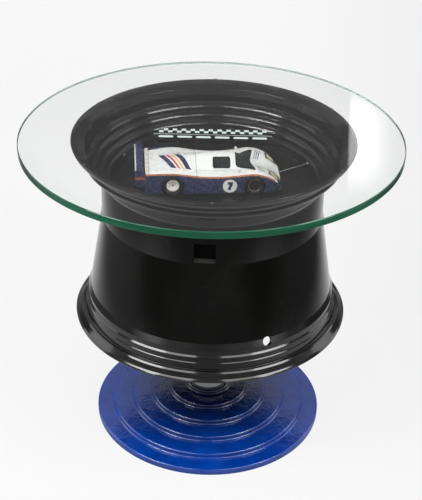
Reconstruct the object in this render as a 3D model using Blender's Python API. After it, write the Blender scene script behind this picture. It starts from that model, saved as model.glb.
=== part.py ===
# Coffee table made from a racing car wheel on a stepped cast base, with a round glass top
# and a scale model racing car on a floor inside the wheel. Metres, +Z up.
# The origin is on the floor under the middle of the glass, which lies a little off the wheel's axis.

import math

import bmesh
import bpy
from mathutils import Matrix, Vector

# Clearances
FIT = 0.0003                # between two pieces that seat on each other
BOLT_PLAY = 0.0004          # radial play of a bolt or rod in its hole

# Base casting
BASE_RADIUS = 0.1943
BASE_LIP_HEIGHT = 0.0110
BASE_STEP_RADII = (0.1652, 0.1315, 0.0988, 0.0674)
BASE_RISER = 0.0087
BASE_HUB_RADIUS = 0.0385
BASE_HUB_RISE = 0.0087      # hub top above the highest step
BASE_WALL = 0.008
BASE_ROUND = 0.004          # rounding of each step's nose and foot
POST_SOCKET_DEPTH = 0.010

# Pedestal post
POST_RADIUS = 0.0290
POST_WALL = 0.003
POST_LENGTH = 0.3375        # from its foot to the top of its flange
POST_FLANGE_RADIUS = 0.070
POST_FLANGE_THICKNESS = 0.010
SPIGOT_RADIUS = 0.0297
SPIGOT_HEIGHT = 0.008

# Tie rod and its fastenings
ROD_RADIUS = 0.008
ROD_END = 0.004             # rod past its nuts
NUT_ACROSS_FLATS = 0.024
NUT_HEIGHT = 0.010
WASHER_RADIUS = 0.020
WASHER_THICKNESS = 0.003
CLAMP_RADIUS = 0.041
CLAMP_THICKNESS = 0.005

# Wheel rim
RIM_WIDTH = 0.3060          # edge to edge
RIM_EDGE_RADIUS = 0.2251
RIM_BEAD_RADIUS = 0.2045
RIM_CONE_RADIUS = 0.1990    # outside, at the foot of the cone
RIM_DROP_RADIUS = 0.1780    # outside of the drop centre
RIM_EDGE_FACE = 0.0085      # width of each flange's flat edge
RIM_LIP_LOW = 0.0116        # edge to the lower flange's lip
RIM_LIP_HIGH = 0.0080       # edge to the upper flange's lip
RIM_FLANGE_HEIGHT = 0.0223  # edge to bead seat
RIM_BEAD_LOW = 0.0420       # edge to the end of the lower bead seat
RIM_BEAD_HIGH = 0.0330      # edge to the end of the upper bead seat
RIM_SHELF = 0.0125          # height of the shelf above the lower bead seat
RIM_SHOULDER = 0.0290       # height of the slope from the upper bead seat to the drop centre
RIM_WALL = 0.0062
RIM_ROUND = 0.004

# Bolting face inside the rim, and the floor's ledge above it
FACE_DEPTH = 0.1058         # upper edge of the rim to the bolting face
FACE_THICKNESS = 0.0195
FACE_RADIUS = 0.159
FACE_BORE_RADIUS = 0.128
LEDGE_HEIGHT = 0.0202       # bolting face to the ledge
LEDGE_WIDTH = 0.005
WELL_WALL_HEIGHT = 0.016    # upright wall above the ledge

# Six pockets in the drop centre and the valve hole
POCKET_COUNT = 6
POCKET_WIDTH = 0.0305
POCKET_HEIGHT = 0.0303
POCKET_DEPTH = 0.0150
POCKET_FOOT = 0.0116        # below the bolting face
POCKET_TURN = math.radians(-93.2)
VALVE_HOLE_RADIUS = 0.0076
VALVE_TURN = math.radians(-63.4)

# Wheel centre
CENTRE_THICKNESS = 0.012
CENTRE_HUB_RADIUS = 0.062
CENTRE_HUB_DROP = 0.0294    # hub below the bolting face
CENTRE_SEAT_RADIUS = 0.046  # recess for the clamp plate
CENTRE_SEAT_THICKNESS = 0.0214
SPOKE_WIDTH = 0.030
WINDOW_INNER_RADIUS = 0.072
WINDOW_OUTER_RADIUS = 0.122
CENTRE_BOLT_COUNT = 6
CENTRE_TURN = math.radians(26.0)
CENTRE_BOLT_CIRCLE = 0.1435
CENTRE_BOLT_RADIUS = 0.004
CENTRE_BOLT_HEAD_RADIUS = 0.0065
CENTRE_BOLT_HEAD_HEIGHT = 0.0050
CENTRE_BOLT_LENGTH = 0.026

# Display floor, glass bumpers and glass
FLOOR_THICKNESS = 0.005
PAD_COUNT = 6
PAD_RADIUS = 0.0037
PAD_THICKNESS = 0.0008
GLASS_RADIUS = 0.300
GLASS_THICKNESS = 0.012
GLASS_CHAMFER = 0.0012
WHEEL_AXIS = (0.0035, 0.0106)   # from the middle of the glass

# Screws on the wall of the well, and the wire to the model's nose
SCREW_TURNS = {"left": math.radians(154.3), "right": math.radians(19.7)}
SCREW_ABOVE_FLOOR = 0.0075
SCREW_HEAD_RADIUS = 0.0028
SCREW_HEAD_HEIGHT = 0.0022
SCREW_SHANK_RADIUS = 0.0014
SCREW_SHANK_LENGTH = 0.006
WIRE_RADIUS = 0.0006
WIRE_NOSE_HEIGHT = 0.015    # above the floor, at the model's nose

# Scale model: place on the floor, then sizes in its own frame (+X forward)
MODEL_PLACE = (-0.0107, -0.0006)
MODEL_TURN = math.radians(4.5)
MODEL_SKIN = 0.0016
MODEL_SILL = 0.0050
PAN_THICKNESS = 0.0020
PAN_INSET = 0.0008
SPLITTER = 0.0012           # pan ahead of the nose
FRONT_AXLE = 0.0728
REAR_AXLE = -0.0553
FRONT_TYRE_RADIUS = 0.0150
REAR_TYRE_RADIUS = 0.0160
FRONT_TYRE_WIDTH = 0.0125
REAR_TYRE_WIDTH = 0.0145
TRACK_OUTSIDE = 0.0930      # over the tyres' outer faces
FRONT_DISC_RADIUS = 0.0104
REAR_DISC_RADIUS = 0.0100
TYRE_ROUND = 0.0022
AXLE_RADIUS = 0.0015
ARCH_CLEARANCE = 0.0022
CARRIER_THICKNESS = 0.0030
CARRIER_WIDTH = 0.0080
CARRIER_OUTSET = 0.0260     # carrier's outer face from the middle
WING_CHORD = 0.0170
WING_THICKNESS = 0.0032
WING_HEIGHT = 0.0405        # above the floor
PLATE_THICKNESS = 0.0022
PLATE_LENGTH = 0.0185
PLATE_FOOT = 0.0130
PLATE_HEIGHT = 0.0450
TUB_LENGTH = 0.058
TUB_WIDTH = 0.040
TUB_HEIGHT = 0.015
TUB_WALL = 0.0015
TUB_PLACE = 0.028           # middle of the tub
SEAT_WIDTH = 0.018
SEAT_HEIGHT = 0.018
SEAT_DEPTH = 0.016
SEAT_PLACE = 0.012

# Stations of the model's body from tail to nose: x, fender top, middle top, half width
MODEL_STATIONS = (
    (-0.098, 0.0385, 0.0385, 0.0490),
    (-0.055, 0.0395, 0.0425, 0.0500),
    (-0.010, 0.0335, 0.0490, 0.0490),
    (0.022, 0.0325, 0.0525, 0.0485),
    (0.045, 0.0345, 0.0490, 0.0490),
    (0.073, 0.0370, 0.0330, 0.0500),
    (0.096, 0.0300, 0.0245, 0.0480),
    (0.116, 0.0140, 0.0130, 0.0390),
)
COCKPIT_SHARE = 0.52        # part of the half width that the cockpit's hump takes
SHOULDER_SHARE = 0.80       # part of the half width where the shoulder starts to fall
SHOULDER_FALL = 0.0030

# Glazing in the model's body, as plan or side rectangles: low corner and high corner
WINDSCREEN_X = (0.046, 0.074)
WINDSCREEN_HALF_WIDTH = 0.0200
SIDE_WINDOW_X = (0.008, 0.036)
SIDE_WINDOW_Z = (0.0375, 0.0480)
SIDE_WINDOW_Y = (0.006, 0.030)
LAMP_X = (0.098, 0.110)
LAMP_Y = (0.023, 0.036)

# Facets
CHORD = 0.002               # length of fillet that gets one chord
BIG_ROUND = 40
MID_ROUND = 24
SMALL_ROUND = 12
BODY_LENGTHWISE = 20
BODY_CROSSWISE = 12

# Heights worked up from the floor
base_top_step = BASE_LIP_HEIGHT + len(BASE_STEP_RADII) * BASE_RISER
base_hub_top = base_top_step + BASE_HUB_RISE
base_socket = base_hub_top - POST_SOCKET_DEPTH
base_hub_under = base_socket - 2 * BASE_WALL
post_foot = base_socket + FIT
post_top = post_foot + POST_LENGTH
centre_foot = post_top + FIT
centre_under = centre_foot + CENTRE_HUB_DROP
face_top = centre_under - FIT
rim_top = face_top + FACE_DEPTH
rim_foot = rim_top - RIM_WIDTH
ledge = face_top + LEDGE_HEIGHT
floor_under = ledge + FIT
deck = floor_under + FLOOR_THICKNESS
ledge_radius = FACE_RADIUS + LEDGE_WIDTH
pad_foot = rim_top + FIT
pad_circle = RIM_EDGE_RADIUS - RIM_EDGE_FACE / 2
glass_under = pad_foot + PAD_THICKNESS + FIT
seat_top = centre_foot + CENTRE_SEAT_THICKNESS
model_ground = deck + FIT
model_tail = MODEL_STATIONS[0][0]
model_nose = MODEL_STATIONS[-1][0]


def clear_scene():
    for item in list(bpy.data.objects):
        bpy.data.objects.remove(item)


def finish(name, colour, roughness, metallic, alpha=1.0):
    material = bpy.data.materials.new(name)
    material.use_nodes = True
    shader = material.node_tree.nodes["Principled BSDF"]
    shader.inputs["Base Color"].default_value = (*colour, 1.0)
    shader.inputs["Roughness"].default_value = roughness
    shader.inputs["Metallic"].default_value = metallic
    shader.inputs["Alpha"].default_value = alpha
    return material


def rounded(corners):
    """Outline through (r, z, fillet) corners, with more chords on a larger fillet."""
    points = []
    count = len(corners)
    for index, (r, z, fillet) in enumerate(corners):
        here = Vector((r, z))
        if fillet == 0:
            points.append(here)
            continue
        before = Vector(corners[index - 1][:2]) - here
        after = Vector(corners[(index + 1) % count][:2]) - here
        half = before.angle(after) / 2
        room = 0.48 * min(before.length, after.length)
        reach = min(fillet / math.tan(half), room)
        start = here + before.normalized() * reach
        end = here + after.normalized() * reach
        chords = min(3, max(1, round(fillet / CHORD)))
        for step in range(chords + 1):
            t = step / chords
            points.append((1 - t) ** 2 * start + 2 * t * (1 - t) * here + t * t * end)
    return points


def revolve(corners, facets):
    """Solid of revolution about Z from a closed outline of (r, z, fillet) corners."""
    shape = bmesh.new()
    ring = [shape.verts.new((p.x, 0.0, p.y)) for p in rounded(corners)]
    edges = [shape.edges.new((a, b)) for a, b in zip(ring, ring[1:] + ring[:1])]
    bmesh.ops.spin(shape, geom=ring + edges, cent=(0, 0, 0), axis=(0, 0, 1),
                   angle=2 * math.pi, steps=facets, use_merge=True)
    bmesh.ops.remove_doubles(shape, verts=shape.verts, dist=1e-6)
    bmesh.ops.dissolve_degenerate(shape, dist=1e-6, edges=shape.edges)
    bmesh.ops.recalc_face_normals(shape, faces=shape.faces)
    return shape


def prism(outline, low, high):
    """Straight prism over a closed (x, y) outline, from low to high along Z."""
    shape = bmesh.new()
    face = shape.faces.new([shape.verts.new((x, y, low)) for x, y in outline])
    raised = bmesh.ops.extrude_face_region(shape, geom=[face])["geom"]
    bmesh.ops.translate(shape, verts=[v for v in raised if isinstance(v, bmesh.types.BMVert)],
                        vec=(0, 0, high - low))
    bmesh.ops.recalc_face_normals(shape, faces=shape.faces)
    return shape


def box(low, high):
    outline = ((low[0], low[1]), (high[0], low[1]), (high[0], high[1]), (low[0], high[1]))
    return prism(outline, low[2], high[2])


def circle(radius, facets):
    return [(radius * math.cos(a), radius * math.sin(a)) for a in around(facets)]


def hexagon(across_flats):
    return circle(across_flats / math.sqrt(3), 6)


def add(name, shape, material=None, sharp=40.0, parent=None):
    """Object from a shape, shaded smooth with sharp edges kept."""
    mesh = bpy.data.meshes.new(name)
    shape.to_mesh(mesh)
    shape.free()
    mesh.shade_smooth()
    mesh.set_sharp_from_angle(angle=math.radians(sharp))
    item = bpy.data.objects.new(name, mesh)
    bpy.context.scene.collection.objects.link(item)
    item.parent = parent
    if material:
        mesh.materials.append(material)
    return item


def guide(name, shape, parent=None):
    """Cutter that takes part in Booleans and isn't a piece itself."""
    item = add(name, shape, parent=parent)
    item.hide_render = True
    item.display_type = 'WIRE'
    return item


def combine(target, tool, operation='DIFFERENCE'):
    step = target.modifiers.new(tool.name, 'BOOLEAN')
    step.operation = operation
    step.solver = 'EXACT'
    step.object = tool


def gather(shapes):
    """One shape holding several separate bodies, for a cutter with repeats."""
    whole = bmesh.new()
    for shape in shapes:
        part = bpy.data.meshes.new("part")
        shape.to_mesh(part)
        shape.free()
        whole.from_mesh(part)
        bpy.data.meshes.remove(part)
    return whole


def placed(shape, matrix):
    bmesh.ops.transform(shape, matrix=matrix, verts=shape.verts)
    return shape


def around(count, start=0.0):
    return [start + 2 * math.pi * k / count for k in range(count)]


def empty(name, place=(0, 0, 0), turn=0.0, parent=None):
    item = bpy.data.objects.new(name, None)
    item.location = place
    item.rotation_euler = (0, 0, turn)
    item.parent = parent
    bpy.context.scene.collection.objects.link(item)
    return item


# Pedestal

def make_base(material):
    radii = (BASE_RADIUS, *BASE_STEP_RADII, BASE_HUB_RADIUS)
    tops = [BASE_LIP_HEIGHT + k * BASE_RISER for k in range(len(BASE_STEP_RADII) + 1)] + [base_hub_top]
    outline = [(rod_hole(), base_socket, 0), (POST_RADIUS + FIT, base_socket, 0),
               (POST_RADIUS + FIT, base_hub_top, 0)]
    for index in range(len(radii) - 1, -1, -1):
        outline.append((radii[index], tops[index], BASE_ROUND))
        foot = tops[index - 1] if index else 0.0
        outline.append((radii[index], foot, 0))
    skirt = BASE_RADIUS - BASE_WALL
    lip_under = BASE_LIP_HEIGHT - BASE_WALL / 2
    outline += [(skirt, 0.0, 0), (skirt, lip_under, 0), (BASE_STEP_RADII[0] - BASE_WALL / 2, lip_under, 0),
                (BASE_STEP_RADII[-1] - BASE_WALL, base_hub_under, BASE_ROUND),
                (rod_hole(), base_hub_under, 0)]
    add("base_casting", revolve(outline, BIG_ROUND), material)


def rod_hole():
    return ROD_RADIUS + BOLT_PLAY


def make_post(material):
    bore = POST_RADIUS - POST_WALL
    flange_under = post_top - POST_FLANGE_THICKNESS
    outline = [(bore, post_top + SPIGOT_HEIGHT, 0), (SPIGOT_RADIUS, post_top + SPIGOT_HEIGHT, 0),
               (SPIGOT_RADIUS, post_top, 0), (POST_FLANGE_RADIUS, post_top, 0),
               (POST_FLANGE_RADIUS, flange_under, 0), (POST_RADIUS, flange_under, POST_WALL),
               (POST_RADIUS, post_foot, 0), (bore, post_foot, 0)]
    add("pedestal_post", revolve(outline, MID_ROUND), material)


def make_tie_rod(material):
    washer_top = base_hub_under - FIT
    washer_foot = washer_top - WASHER_THICKNESS
    nut_top = washer_foot - FIT
    nut_foot = nut_top - NUT_HEIGHT
    clamp_foot = seat_top + FIT
    clamp_top = clamp_foot + CLAMP_THICKNESS
    upper_nut_foot = clamp_top + FIT
    upper_nut_top = upper_nut_foot + NUT_HEIGHT
    rod = prism(circle(ROD_RADIUS, SMALL_ROUND), nut_foot - ROD_END, upper_nut_top + ROD_END)
    add("tie_rod", rod, material)
    make_ring("lower_washer", WASHER_RADIUS, washer_foot, washer_top, material)
    make_ring("clamp_plate", CLAMP_RADIUS, clamp_foot, clamp_top, material)
    make_nut("lower_nut", nut_foot, material)
    make_nut("upper_nut", upper_nut_foot, material)


def make_ring(name, radius, low, high, material):
    outline = [(rod_hole(), high, 0), (radius, high, 0), (radius, low, 0), (rod_hole(), low, 0)]
    add(name, revolve(outline, MID_ROUND), material)


def make_nut(name, low, material):
    nut = add(name, prism(hexagon(NUT_ACROSS_FLATS), low, low + NUT_HEIGHT), material)
    bore = prism(circle(rod_hole(), SMALL_ROUND), low - NUT_HEIGHT, low + 2 * NUT_HEIGHT)
    combine(nut, guide(name + "_bore", bore))


# Wheel

def flange_outside(edge, inward, lip_height, bead_end):
    """Outer half profile of one flange, from its edge to the end of its bead seat."""
    lip = edge + inward * lip_height
    seat = edge + inward * RIM_FLANGE_HEIGHT
    return [(RIM_EDGE_RADIUS, edge, RIM_ROUND / 2),
            (RIM_EDGE_RADIUS - RIM_ROUND / 2, lip, RIM_ROUND),
            (RIM_BEAD_RADIUS + RIM_ROUND / 2, seat - inward * RIM_ROUND / 2, RIM_ROUND),
            (RIM_BEAD_RADIUS, edge + inward * bead_end, 0)]


def flange_inside(edge, inward, lip_height, bead_end):
    """Inner half profile of one flange, a wall thickness inside the outer one."""
    inner = RIM_BEAD_RADIUS - RIM_WALL
    return [(RIM_EDGE_RADIUS - RIM_EDGE_FACE, edge, RIM_ROUND / 2),
            (inner + RIM_ROUND, edge + inward * lip_height, RIM_ROUND / 2),
            (inner, edge + inward * (RIM_FLANGE_HEIGHT - RIM_ROUND), 0),
            (inner - RIM_ROUND / 4, edge + inward * (bead_end - RIM_WALL / 2), 0)]


def rim_outline():
    cone_foot = rim_foot + RIM_BEAD_LOW + RIM_SHELF
    drop_foot = face_top - POCKET_FOOT - RIM_ROUND
    drop_top = rim_top - RIM_BEAD_HIGH - RIM_SHOULDER
    face_under = face_top - FACE_THICKNESS
    outside = flange_outside(rim_top, -1, RIM_LIP_HIGH, RIM_BEAD_HIGH)
    outside += [(RIM_DROP_RADIUS, drop_top, 2 * RIM_ROUND), (RIM_DROP_RADIUS, drop_foot, 0),
                (RIM_CONE_RADIUS, cone_foot, RIM_ROUND / 2)]
    outside += reversed(flange_outside(rim_foot, 1, RIM_LIP_LOW, RIM_BEAD_LOW))
    inside = flange_inside(rim_foot, 1, RIM_LIP_LOW, RIM_BEAD_LOW)
    inside += [(RIM_CONE_RADIUS - RIM_WALL, cone_foot, 0),
               (FACE_RADIUS + RIM_ROUND, face_under, 0), (FACE_BORE_RADIUS, face_under, 0),
               (FACE_BORE_RADIUS, face_top, 0), (FACE_RADIUS, face_top, 0), (FACE_RADIUS, ledge, 0),
               (ledge_radius, ledge, 0), (ledge_radius, ledge + WELL_WALL_HEIGHT, RIM_ROUND)]
    inside += reversed(flange_inside(rim_top, -1, RIM_LIP_HIGH, RIM_BEAD_HIGH))
    return outside + inside


def turned(angle):
    return Matrix.Rotation(angle, 4, 'Z')


def make_rim(material):
    rim = add("wheel_rim", revolve(rim_outline(), BIG_ROUND), material, sharp=30.0)
    foot = face_top - POCKET_FOOT
    low = (RIM_DROP_RADIUS - POCKET_DEPTH, -POCKET_WIDTH / 2, foot)
    high = (RIM_DROP_RADIUS + POCKET_DEPTH, POCKET_WIDTH / 2, foot + POCKET_HEIGHT)
    pockets = [placed(box(low, high), turned(a)) for a in around(POCKET_COUNT, POCKET_TURN)]
    combine(rim, guide("pocket_cutter", gather(pockets)))
    combine(rim, guide("valve_cutter", valve_hole()))
    combine(rim, guide("rim_bolt_holes", bolt_holes(face_top - FACE_THICKNESS * 2, face_top + FIT)))
    combine(rim, guide("screw_holes", gather([screw_hole(a) for a in SCREW_TURNS.values()])))


def valve_hole():
    """Cylinder square to the shelf above the lower bead seat."""
    shelf_foot = Vector((RIM_BEAD_RADIUS, 0, rim_foot + RIM_BEAD_LOW))
    shelf_head = Vector((RIM_CONE_RADIUS, 0, rim_foot + RIM_BEAD_LOW + RIM_SHELF))
    middle = (shelf_foot + shelf_head) / 2
    slope = shelf_head - shelf_foot
    outward = Vector((slope.z, 0, -slope.x)).normalized()
    drill = prism(circle(VALVE_HOLE_RADIUS, SMALL_ROUND), -4 * RIM_WALL, 2 * RIM_WALL)
    aim = outward.to_track_quat('Z', 'Y').to_matrix().to_4x4()
    return placed(drill, turned(VALVE_TURN) @ Matrix.Translation(middle) @ aim)


def bolt_holes(low, high):
    drill_radius = CENTRE_BOLT_RADIUS + BOLT_PLAY
    drills = []
    for angle in around(CENTRE_BOLT_COUNT, CENTRE_TURN):
        drill = prism(circle(drill_radius, SMALL_ROUND), low, high)
        drills.append(placed(drill, turned(angle) @ Matrix.Translation((CENTRE_BOLT_CIRCLE, 0, 0))))
    return gather(drills)


def make_centre(material):
    top = centre_under + CENTRE_THICKNESS
    bore = SPIGOT_RADIUS + FIT
    outline = [(bore, seat_top, 0), (CENTRE_SEAT_RADIUS, seat_top, 0), (CENTRE_SEAT_RADIUS, top, 0),
               (FACE_RADIUS - FIT, top, 0), (FACE_RADIUS - FIT, centre_under, 0),
               (CENTRE_HUB_RADIUS, centre_under, CENTRE_THICKNESS / 2),
               (CENTRE_HUB_RADIUS, centre_foot, 0), (bore, centre_foot, 0)]
    centre = add("wheel_centre", revolve(outline, BIG_ROUND), material)
    between = CENTRE_TURN + math.pi / CENTRE_BOLT_COUNT
    windows = [placed(window(), turned(a)) for a in around(CENTRE_BOLT_COUNT, between)]
    combine(centre, guide("window_cutter", gather(windows)))
    combine(centre, guide("centre_bolt_holes", bolt_holes(centre_under - FIT, top + FIT)))


def window():
    """Opening between two spokes, with sides parallel to the spokes."""
    half = math.pi / CENTRE_BOLT_COUNT
    corners = []
    for radius, side in ((WINDOW_INNER_RADIUS, -1), (WINDOW_OUTER_RADIUS, -1),
                         (WINDOW_OUTER_RADIUS, 1), (WINDOW_INNER_RADIUS, 1)):
        angle = side * (half - math.asin(SPOKE_WIDTH / 2 / radius))
        corners.append((radius * math.cos(angle), radius * math.sin(angle)))
    return prism(corners, centre_foot, centre_under + 2 * CENTRE_THICKNESS)


def make_centre_bolts(material):
    """Socket head bolts through the centre's rim into the bolting face."""
    head_foot = centre_under + CENTRE_THICKNESS + FIT
    head_top = head_foot + CENTRE_BOLT_HEAD_HEIGHT
    tip = head_foot - CENTRE_BOLT_LENGTH
    outline = [(0, head_top, 0), (CENTRE_BOLT_HEAD_RADIUS, head_top, 0),
               (CENTRE_BOLT_HEAD_RADIUS, head_foot, 0), (CENTRE_BOLT_RADIUS, head_foot, 0),
               (CENTRE_BOLT_RADIUS, tip, 0), (0, tip, 0)]
    for number, angle in enumerate(around(CENTRE_BOLT_COUNT, CENTRE_TURN), 1):
        where = turned(angle) @ Matrix.Translation((CENTRE_BOLT_CIRCLE, 0, 0))
        add(f"centre_bolt_{number}", placed(revolve(outline, SMALL_ROUND), where), material)


# Display floor, bumpers, glass

def make_floor(material):
    radius = ledge_radius - FIT
    add("display_floor", prism(circle(radius, BIG_ROUND), floor_under, deck), material)


def screw_aim(angle):
    """Frame on the well's wall with its Z pointing into the wall."""
    place = Matrix.Translation((ledge_radius, 0, deck + SCREW_ABOVE_FLOOR))
    return turned(angle) @ place @ Matrix.Rotation(math.pi / 2, 4, 'Y')


def screw_hole(angle):
    drill = prism(circle(SCREW_SHANK_RADIUS + FIT, SMALL_ROUND), -SCREW_HEAD_HEIGHT, SCREW_SHANK_LENGTH + FIT)
    return placed(drill, screw_aim(angle))


def make_screws(material):
    for side, angle in SCREW_TURNS.items():
        seat = -2 * FIT
        outline = [(0, SCREW_SHANK_LENGTH, 0), (SCREW_SHANK_RADIUS, SCREW_SHANK_LENGTH, 0),
                   (SCREW_SHANK_RADIUS, seat, 0), (SCREW_HEAD_RADIUS, seat, 0),
                   (SCREW_HEAD_RADIUS, seat - SCREW_HEAD_HEIGHT, SCREW_HEAD_HEIGHT / 2),
                   (0, seat - SCREW_HEAD_HEIGHT, 0)]
        add(f"well_screw_{side}", placed(revolve(outline, SMALL_ROUND), screw_aim(angle)), material)


def make_pads(material):
    for number, angle in enumerate(around(PAD_COUNT, math.pi / PAD_COUNT), 1):
        pad = prism(circle(PAD_RADIUS, SMALL_ROUND), pad_foot, pad_foot + PAD_THICKNESS)
        where = turned(angle) @ Matrix.Translation((pad_circle, 0, 0))
        add(f"glass_pad_{number}", placed(pad, where), material)


def make_glass(material):
    top = glass_under + GLASS_THICKNESS
    outline = [(0, top, 0), (GLASS_RADIUS - GLASS_CHAMFER, top, 0), (GLASS_RADIUS, top - GLASS_CHAMFER, 0),
               (GLASS_RADIUS, glass_under + GLASS_CHAMFER, 0), (GLASS_RADIUS - GLASS_CHAMFER, glass_under, 0),
               (0, glass_under, 0)]
    add("glass_top", revolve(outline, BIG_ROUND), material)


# Scale model

def along(stations, x, column):
    """Value of one column at x, on a smooth curve through the stations."""
    last = len(stations) - 1
    index = max(k for k in range(last) if stations[k][0] <= x or k == 0)
    x0, x1 = stations[index][0], stations[index + 1][0]
    t = min(max((x - x0) / (x1 - x0), 0.0), 1.0)

    def slope(k):
        low, high = max(k - 1, 0), min(k + 1, last)
        rise = stations[high][column] - stations[low][column]
        return rise / (stations[high][0] - stations[low][0])

    p0, p1 = stations[index][column], stations[index + 1][column]
    m0, m1 = slope(index) * (x1 - x0), slope(index + 1) * (x1 - x0)
    return ((2 * t ** 3 - 3 * t ** 2 + 1) * p0 + (t ** 3 - 2 * t ** 2 + t) * m0
            + (3 * t ** 2 - 2 * t ** 3) * p1 + (t ** 3 - t ** 2) * m1)


def body_top(x, share):
    """Height of the body at x, share of the half width out from the middle."""
    fender = along(MODEL_STATIONS, x, 1)
    middle = along(MODEL_STATIONS, x, 2)
    out = abs(share)
    hump = max(0.0, 1 - (out / COCKPIT_SHARE) ** 2) ** 1.5
    fall = max(0.0, (out - SHOULDER_SHARE) / (1 - SHOULDER_SHARE)) ** 2
    return fender + (middle - fender) * hump - SHOULDER_FALL * fall


def half_width(x):
    return along(MODEL_STATIONS, x, 3)


def body_sheet(name, material, parent):
    """Upper skin of the body with its skirts, given the skin's thickness inwards."""
    skin = bmesh.new()
    bmesh.ops.create_grid(skin, x_segments=BODY_LENGTHWISE, y_segments=BODY_CROSSWISE, size=1.0)
    for vert in skin.verts:
        x = model_tail + (model_nose - model_tail) * (vert.co.x + 1) / 2
        share = math.sin(vert.co.y * math.pi / 2)
        vert.co = (x, share * half_width(x), body_top(x, share))
    rim = [e for e in skin.edges if e.is_boundary]
    skirt = bmesh.ops.extrude_edge_only(skin, edges=rim)["geom"]
    for vert in [v for v in skirt if isinstance(v, bmesh.types.BMVert)]:
        vert.co.z = MODEL_SILL
    bmesh.ops.triangulate(skin, faces=skin.faces)
    bmesh.ops.recalc_face_normals(skin, faces=skin.faces)
    sheet = add(name, skin, material, parent=parent)
    wall = sheet.modifiers.new("skin", 'SOLIDIFY')
    wall.thickness = MODEL_SKIN
    wall.offset = -1
    wall.use_even_offset = True
    return sheet


def mirrored(span, side):
    return tuple(sorted((side * span[0], side * span[1])))


def glazing_boxes():
    """Name, low corner and high corner of each opening in the model's body."""
    roof = 2 * max(row[2] for row in MODEL_STATIONS)
    boxes = {"model_windscreen": ((WINDSCREEN_X[0], -WINDSCREEN_HALF_WIDTH, MODEL_SILL),
                                  (WINDSCREEN_X[1], WINDSCREEN_HALF_WIDTH, roof))}
    for side, sign in (("left", 1), ("right", -1)):
        y0, y1 = mirrored(SIDE_WINDOW_Y, sign)
        boxes[f"model_side_window_{side}"] = ((SIDE_WINDOW_X[0], y0, SIDE_WINDOW_Z[0]),
                                              (SIDE_WINDOW_X[1], y1, SIDE_WINDOW_Z[1]))
        y0, y1 = mirrored(LAMP_Y, sign)
        boxes[f"model_headlight_{side}"] = ((LAMP_X[0], y0, MODEL_SILL), (LAMP_X[1], y1, roof))
    return boxes


def make_body(paint, glass, lamp, parent):
    body = body_sheet("model_body", paint, parent)
    reach = Vector((FIT, FIT, FIT))
    for name, (low, high) in glazing_boxes().items():
        pane = body_sheet(name, lamp if "headlight" in name else glass, parent)
        blank = box(Vector(low) + reach, Vector(high) - reach)
        combine(pane, guide(name + "_blank", blank, parent), 'INTERSECT')
        combine(body, guide(name + "_opening", box(low, high), parent))
    combine(body, guide("arch_cutter", arches(), parent))


def arches():
    cutters = []
    for axle, radius in ((FRONT_AXLE, FRONT_TYRE_RADIUS), (REAR_AXLE, REAR_TYRE_RADIUS)):
        for side in (1, -1):
            drum = prism(circle(radius + ARCH_CLEARANCE, MID_ROUND), TRACK_OUTSIDE / 4, TRACK_OUTSIDE)
            lay = Matrix.Rotation(-side * math.pi / 2, 4, 'X')
            cutters.append(placed(drum, Matrix.Translation((axle, 0, radius)) @ lay))
    return gather(cutters)


def make_pan(material, parent):
    """Flat floor of the model with a splitter ahead of the nose and four axle carriers."""
    top = MODEL_SILL - FIT
    steps = [model_tail + (model_nose - model_tail) * k / BODY_LENGTHWISE for k in range(BODY_LENGTHWISE + 1)]
    side = [(x, half_width(x) - PAN_INSET) for x in steps]
    nose = [(model_nose + SPLITTER, side[-1][1]), (model_nose + SPLITTER, -side[-1][1])]
    outline = side + nose + [(x, -y) for x, y in reversed(side)]
    pan = add("model_floor_pan", prism(outline, top - PAN_THICKNESS, top), material, parent=parent)
    carriers = []
    wells = []
    for axle, radius, width in ((FRONT_AXLE, FRONT_TYRE_RADIUS, FRONT_TYRE_WIDTH),
                                (REAR_AXLE, REAR_TYRE_RADIUS, REAR_TYRE_WIDTH)):
        for sign in (1, -1):
            y0, y1 = mirrored((CARRIER_OUTSET - CARRIER_THICKNESS, CARRIER_OUTSET), sign)
            carriers.append(box((axle - CARRIER_WIDTH / 2, y0, top - PAN_THICKNESS / 2),
                                (axle + CARRIER_WIDTH / 2, y1, radius + CARRIER_WIDTH / 2)))
            y0, y1 = mirrored((TRACK_OUTSIDE / 2 - width - ARCH_CLEARANCE, TRACK_OUTSIDE), sign)
            wells.append(box((axle - radius - ARCH_CLEARANCE, y0, -radius),
                             (axle + radius + ARCH_CLEARANCE, y1, radius)))
        bore = prism(circle(AXLE_RADIUS + BOLT_PLAY, SMALL_ROUND), -TRACK_OUTSIDE, TRACK_OUTSIDE)
        lay = Matrix.Rotation(math.pi / 2, 4, 'X')
        wells.append(placed(bore, Matrix.Translation((axle, 0, radius)) @ lay))
    combine(pan, guide("carriers", gather(carriers), parent), 'UNION')
    combine(pan, guide("wheel_wells", gather(wells), parent))


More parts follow.
